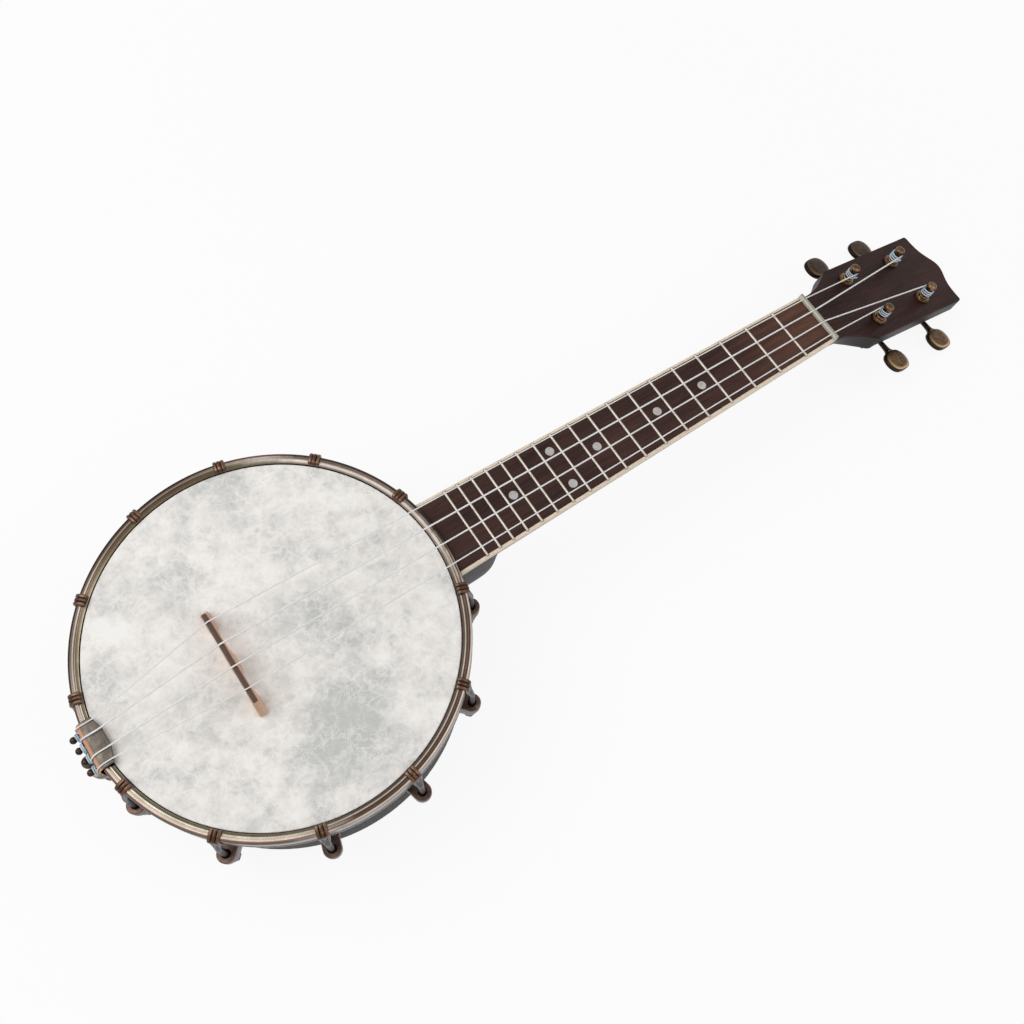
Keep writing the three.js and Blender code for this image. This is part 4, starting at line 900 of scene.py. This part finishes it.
def make_neck():
    places = [-8 + 1.5 * i for i in range(14)] + [13 + 0.6 * i for i in range(40)]
    places += [37 + 4.5 * i for i in range(49)] + [NUT_X - 5, NUT_X - 1]
    rows = [neck_row(x) for x in places]
    last, first = rows[-1], head_row(4)
    rows += [[a.lerp(b, share) for a, b in zip(last, first)] for share in (0.25, 0.5, 0.75)]
    places = [4 + 1.5 * i for i in range(21)] + [35 + 8 * i for i in range(10)] + [HEAD_LENGTH + 10]
    rows += [head_row(x) for x in places]
    body = skin(rows)
    rim, hoop, bottom, step, top = RIM_OUTER + 0.3, FLESH_OUTER + 0.3, -RIM_DEPTH - 2, -14.3, 5
    pot_space = lathe([(0, bottom), (rim, bottom), (rim, step), (hoop, step), (hoop, top), (0, top)], 160)
    pot_space = moved(pot_space, NECK_IN_POT.inverted())
    far, wide = HEAD_LENGTH + 14, 36
    end = [(head_end(y), y) for y in [wide, *end_places(), -wide]]
    past_end = moved(prism([(far, -wide), (far, wide), *end], -30, top), HEAD_IN_NECK)
    piece("neck_wood", carve(body, pot_space, past_end), NECK, NECK_WOOD, "neck", ["neck"], sharp=30)


# Places across the headstock's end, close together round its corners
def end_places():
    flat = HEAD_END_HALF - HEAD_CORNER
    half = [flat + HEAD_CORNER * cos(pi / 2 * k / 6) for k in range(6)]
    half += [flat * (1 - k / 20) for k in range(20)]
    return half + [0] + [-y for y in reversed(half)]


# The outline of the headstock's face, drawn in by a margin
def face_outline(margin, start):
    side = [(x, head_half(x) - margin) for x in [lerp(start, SHOULDER, i / 16) for i in range(17)]]
    shrink = 1 - margin / HEAD_END_HALF
    end = [(head_end(y) - margin, y * shrink) for y in end_places()]
    return side + end + [(x, -y) for x, y in reversed(side)]


def make_headstock():
    rows = [[(x, y, z) for x, y in face_outline(margin, -1.8)] for z, margin in (
        (-VENEER, 0), (-0.5, 0), (-0.15, 0.15), (0, 0.5),
    )]
    piece("headstock_face", skin(rows), HEAD, HEAD_WOOD, "veneer", ["headstock_veneer"])


def fret_x(n):
    return NUT_X - SCALE * (1 - 2 ** (-n / 12))


# A strip of the board between two lines along it, each a function of X, with its start against the hoop
def board_strip(one, other):
    across = [lerp(one(0), other(0), k / 20) for k in range(21)]
    end = NUT_X - 0.2
    return [(sqrt(JOIN ** 2 - y ** 2) - JOIN + 0.1, y) for y in across] + [(end, other(end)), (end, one(end))]


def make_fingerboard():
    inset, bottom, radius = BINDING + 0.2, -BOARD + 0.2, 0.88
    strip = board_strip(lambda x: -board_half(x) + inset, lambda x: board_half(x) - inset)
    piece("board_wood", prism(strip, bottom, 0), NECK, BOARD_WOOD, "fingerboard", ["fingerboard"], bevel=0.08)
    for name, side in (("bass", 1), ("treble", -1)):
        strip = board_strip(lambda x: side * board_half(x), lambda x: side * (board_half(x) - BINDING))
        edge = prism(strip, bottom, -0.35)
        piece(f"edge_{name}", edge, NECK, CREAM, "binding", [f"binding_{name}"], bevel=0.15)
    for n in range(1, FRETS + 1):
        x = fret_x(n)
        half = board_half(x) - BINDING + 0.8
        rows = []
        for share, size in mirrored([(1, 0.35), (0.992, 0.7), (0.975, 0.93), (0.95, 1)]):
            profile = arc(0, 0, radius, 180, 0, 12, 1.05)
            rows.append([(x + px * lerp(size, 1, 0.6), half * share, pz * size - 0.1) for px, pz in profile])
        piece(f"fret_{n:02d}", skin(rows), NECK, FRET_PAINTED_LIGHT, "steel", ["fingerboard"])
    disc = lathe([(0, -0.6), (2.5, -0.6), (2.5, 0.02), (2.35, 0.05), (0, 0.05)], 32)
    for n, places in ((5, [0]), (7, [0]), (10, [0]), (12, [-11, 11]), (15, [0])):
        for k, y in enumerate(places, 1):
            x = (fret_x(n) + fret_x(n - 1)) / 2
            piece(f"dot_{n:02d}_{k}", shifted(disc, x, y), NECK, PEARL, "binding", ["fingerboard"])


# Strings: the same route as in the frame, a little off what they touch
STRING_GAP, PIN_TURNS, POST_TURNS, POST_WAIST, WIND_TOP, CUT_END = 0.3, 3.75, 3, 2.2, 9.5, 4


def string_side(i):
    return 1 if i < 2 else -1


def post_place(i):
    along, across = NEAR_POST if i in (0, 3) else FAR_POST
    return along, string_side(i) * across


def nut_points(i):
    y = -SPREAD_NUT * (i / 3 - 0.5)
    return [Vector((NUT_X + NUT_WIDE * share, y, z)) for share, z in ((0, 1.9), (0.5, 1.9), (1, 1.6))]


def bridge_point(i):
    height = BRIDGE_HEIGHT + STRING_GAP + max(STRINGS) / 2
    return Vector((BRIDGE_X, -SPREAD_BRIDGE * (i / 3 - 0.5), height))


def post_turns(i, steps):
    along, across = post_place(i)
    side, radius = string_side(i), STRINGS[i] / 2
    arrives = HEAD_IN_NECK.inverted() @ nut_points(i)[-1]
    winding = POST_WAIST + STRING_GAP + radius
    dy, dx = across - arrives.y, along - arrives.x
    begin = atan2(dy, dx) + pi + side * acos(winding / hypot(dx, dy))
    top = WIND_TOP - STRING_GAP - radius
    pitch = 2 * radius + 0.6
    out = []
    for turn in [k / steps for k in range(POST_TURNS * steps + 1)]:
        angle = begin + side * 2 * pi * turn
        out.append(Vector((along + winding * cos(angle), across + winding * sin(angle), top - pitch * turn)))
    return out


def string_route(i):
    radius = STRINGS[i] / 2
    pin = (1.5 - i) * PIN_SPACING
    side = string_side(i)
    loop, wide = PIN_RADIUS + STRING_GAP + radius, PIN_RADIUS + 0.2 + 2.7 * radius
    flap = FLAP_OUTER + PLATE - TAIL_THICK
    start, room = flap - 0.15 - radius, 2.5 - 2 * radius
    route = []
    for share in [k / 120 for k in range(121)]:
        angle = -2 * pi * PIN_TURNS * (1 - share)
        out = room * min(share / 0.5, (1 - share) / 0.5)
        size = lerp(PIN_RADIUS + 0.1 + radius, wide, min(max((share - 0.42) / 0.12, 0), 1))
        route.append(Vector((start - out, pin + side * size * cos(angle), -PIN_DROP + size * sin(angle))))
    bend = TAIL_BEND + 0.2 + radius
    for k, (x, z) in enumerate(arc(flap + TAIL_BEND, PLATE_TOP - TAIL_BEND, bend, 180, 90, 8)):
        route.append(Vector((x, pin + side * lerp(wide, loop, k / 8), z)))
    route.append(Vector((-HOOP_INNER + 1.8, pin + side * loop, PLATE_TOP + STRING_GAP + radius)))
    route.append(bridge_point(i))
    route += [NECK_IN_POT @ p for p in nut_points(i)]
    turns = post_turns(i, 32)
    route += [HEAD_IN_POT @ p for p in turns]
    away = (turns[-1] - turns[-2]).normalized()
    route.append(HEAD_IN_POT @ (turns[-1] + away * CUT_END))
    return route


def make_strings():
    for i, diameter in enumerate(STRINGS):
        string = tube(string_route(i), diameter / 2)
        piece(f"nylon_{i + 1}", string, POT, NYLON, "strings", [f"string_{i + 1}"])


def make_nut():
    back_x = NUT_X + NUT_WIDE
    outline = [(NUT_X, -4), (back_x, -4), (back_x, 1.3), (back_x - 0.4, 1.85), (NUT_X + 1.9, 2.4),
               (NUT_X + 0.6, 2.4), (NUT_X, 1.9)]
    half = BOARD_NUT / 2
    block = skin([[(x, y, z) for x, z in outline] for y in (-half, half)])
    grooves = []
    for i, diameter in enumerate(STRINGS):
        front, middle, back = nut_points(i)
        before = (NECK_IN_POT.inverted() @ bridge_point(i) - front).normalized() * 2
        after = (HEAD_IN_NECK @ post_turns(i, 8)[0] - back).normalized() * 2
        grooves.append(tube([front + before, front, middle, back, back + after], diameter / 2 + 0.2, 10))
    piece("nut_bone", carve(block, *grooves), NECK, BONE, "nut", ["nut"], bevel=0.2, bevel_angle=40)


# Tuners, built round their own post with the worm towards +X and the button towards +Y
def make_gear():
    teeth = 12
    outline = []
    for k in range(teeth):
        for share, radius in ((-0.5, 5.9), (-0.3, 5.9), (-0.16, 6.8), (0.16, 6.8), (0.3, 5.9)):
            angle = 2 * pi * (k + share) / teeth
            outline.append((radius * cos(angle), radius * sin(angle)))
    return prism(outline, GEAR_TOP - GEAR_THICK, GEAR_TOP)


def make_worm():
    length, turns, lines = 7.6, 4, 40
    rows = []
    for i in range(lines + 1):
        y = length * (i / lines - 0.5)
        height = 0.8 * min(1, (length / 2 - abs(y)) / 0.8)
        row = []
        for angle in around(20):
            radius = WORM_RADIUS + height * cos(2 * pi * turns * y / length - angle)
            row.append((radius * cos(angle), y, radius * sin(angle)))
        rows.append(row)
    return skin(rows)


def make_button(reach):
    length, width, thick = 14.6, 18, 4.6
    start = reach - length / 2
    stem = 1.6
    profile = [
        (-9.9, stem, stem), (9, stem, stem), (start - 6, 1.65, 1.6), (start - 3, 1.8, 1.65),
        (start - 1.6, 2.1, 1.68), (start - 0.6, 2.7, 1.72), (start - 0.05, 3.4, 1.78),
    ]
    for k in range(2, 25):
        angle = pi * k / 24
        y = reach - length / 2 * cos(angle)
        wide = width / 2 * sin(angle) ** 0.62 if k < 24 else 0.4
        deep = thick / 2 * min(1, sin(angle) ** 0.3) if k < 24 else 0.3
        profile.append((y, wide, deep))
    rows = []
    for y, wide, deep in profile:
        power = lerp(1, 0.68, min(max((wide - stem) / 2.5, 0), 1))
        rows.append([(wide * squared(cos(a), power), y, deep * squared(sin(a), power)) for a in around(32)])
    return merge(skin(rows), make_worm())


def make_tuner(i):
    along, across = post_place(i)
    base = HEAD @ Matrix.Translation((along, across, 0))

    def part(name, form, node, place=base, material=BRASS, **looks):
        piece(f"tuner_{i + 1}_{name}", form, place, material, "tuners", [f"tuner_{i + 1}_{node}"], **looks)

    low = CORE_BOTTOM + 0.3
    part("flange", lathe([
        (3.3, low), (4.3, low), (4.3, 0.3), (4.85, 0.3), *arc(4.25, 0.9, 0.6, 0, 60, 4),
        *arc(4.0, 0.9, 0.95, 55, 85, 3), (3.9, 2.1), (3.3, 2.1),
    ], 48, ring=True), "bushing")
    post = lathe([
        (0, WORM_Z), (3, WORM_Z), (3, 2.7), (2.6, 3.2), (2.2, 3.5), (2.2, 9.2), (2.45, 9.5), (3, 9.7),
        (3.05, 10.6), (2.95, 11.4), (2.6, 12.0), (1.9, 12.4), (1.0, 12.5), (0, 12.5),
    ], 40)
    top, bottom = GEAR_TOP - GEAR_THICK, -21.9
    screw = lathe([(0, bottom), (2.6, bottom), (2.9, bottom + 0.4), (2.9, top), (0, top)], 32)
    groove = prism([(-3.2, -0.4), (3.2, -0.4), (3.2, 0.4), (-3.2, 0.4)], bottom - 0.6, bottom + 0.6)
    screw = carve(screw, groove)
    part("shaft", merge(post, make_gear(), screw), "post", body=f"post_{i + 1}", sharp=30)
    outline = []
    for x, y, start in ((13.8, -3.9, 270), (13.8, 3.9, 0), (-4, 3.9, 90), (-4, -3.9, 180)):
        outline += arc(x, y, 2.5, start, start + 90, 6)
    hole = lathe([(0, -16), (3.3, -16), (3.3, -10), (0, -10)], 24)
    plate = carve(prism(outline, HOUSING_BOTTOM, HOUSING_TOP), hole)
    top = HOUSING_BOTTOM + 0.4
    outline = [(-2.8, top), (-2.8, WORM_Z), *arc(0, WORM_Z, 2.8, 180, 360, 12), (2.8, top)]
    lugs = [skin([[(x + GEAR_X, side * y, z) for x, z in outline] for y in (4.1, 6.5)]) for side in (-1, 1)]
    bearing = turned(lathe([(0, -8), (1.9, -8), (1.9, 8), (0, 8)], 20), 90, "X")
    lugs = carve(merge(*lugs), shifted(bearing, GEAR_X, 0, WORM_Z))
    part("plate", merge(plate, lugs), "housing", bevel=0.2, bevel_angle=50)
    place = base @ Matrix.Translation((GEAR_X, 0, WORM_Z))
    if across < 0:
        place = place @ Matrix.Rotation(pi, 4, "Z")
    button = make_button(BUTTON_REACH - abs(across))
    material = KNOB_PAINTED_SHADE if across > 0 else KNOB_PAINTED_LIGHT
    part("knob", button, "button", place, material, body=f"button_{i + 1}", sharp=50)


# The studio: a pale floor that glows to white away from the object, soft lamps and a white background
FLOOR_HALF, FLOOR_DROP, FLOOR_GLOW, FLOOR_FADE = 3, 0.0005, 0.9, (0.35, 1.3)
WORLD_LIGHT = 0.45
LAMPS = (("key_lamp", (-0.55, 0.35, 0.95), 0.8, 5.2), ("fill_lamp", (0.5, -0.6, 0.9), 0.9, 2.4))


def make_floor():
    corners = [(-FLOOR_HALF, -FLOOR_HALF, 0), (FLOOR_HALF, -FLOOR_HALF, 0), (FLOOR_HALF, FLOOR_HALF, 0),
               (-FLOOR_HALF, FLOOR_HALF, 0)]
    floor = shown("floor", bpy.data.meshes.new("floor"))
    floor.data.from_pydata(corners, [], [(0, 1, 2, 3)])
    floor.location.z = -FLOOR_DROP
    pale = Look("floor_finish", Base_Color=(0.9, 0.9, 0.9, 1), Roughness=0.9, Specular_IOR_Level=0.1)
    place = pale.add("ShaderNodeNewGeometry").outputs["Position"]
    away = pale.add("ShaderNodeVectorMath", {0: place}, operation="LENGTH").outputs["Value"]
    share = pale.math("MULTIPLY", pale.seen(), pale.fade(away, *FLOOR_FADE, FLOOR_GLOW))
    glow = pale.add("ShaderNodeEmission").outputs[0]
    mixed = pale.add("ShaderNodeMixShader", {0: share, 1: pale.shader.outputs[0], 2: glow})
    pale.tree.links.new(mixed.outputs[0], pale.tree.nodes["Material Output"].inputs["Surface"])
    floor.data.materials.append(pale.material)


def make_lights():
    world = bpy.data.worlds.new("studio")
    bpy.context.scene.world = world
    world.use_nodes = True
    nodes = Nodes(world.node_tree)
    background = world.node_tree.nodes["Background"].inputs
    background["Color"].default_value = (1, 1, 1, 1)
    nodes.tree.links.new(nodes.fade(nodes.seen(), 0, 1, WORLD_LIGHT), background["Strength"])
    for name, place, size, power in LAMPS:
        data = bpy.data.lights.new(name, "AREA")
        data.size, data.energy = size, power
        lamp = shown(name, data)
        lamp.location = place
        lamp.rotation_mode = "QUATERNION"
        lamp.rotation_quaternion = (-Vector(place)).to_track_quat("-Z", "Y")


make_pot()
make_hooks()
make_tail()
make_bridge()
make_neck()
make_headstock()
make_fingerboard()
make_nut()
make_strings()
for number in range(len(STRINGS)):
    make_tuner(number)
make_floor()
make_lights()
bpy.context.scene.view_settings.view_transform = "Standard"
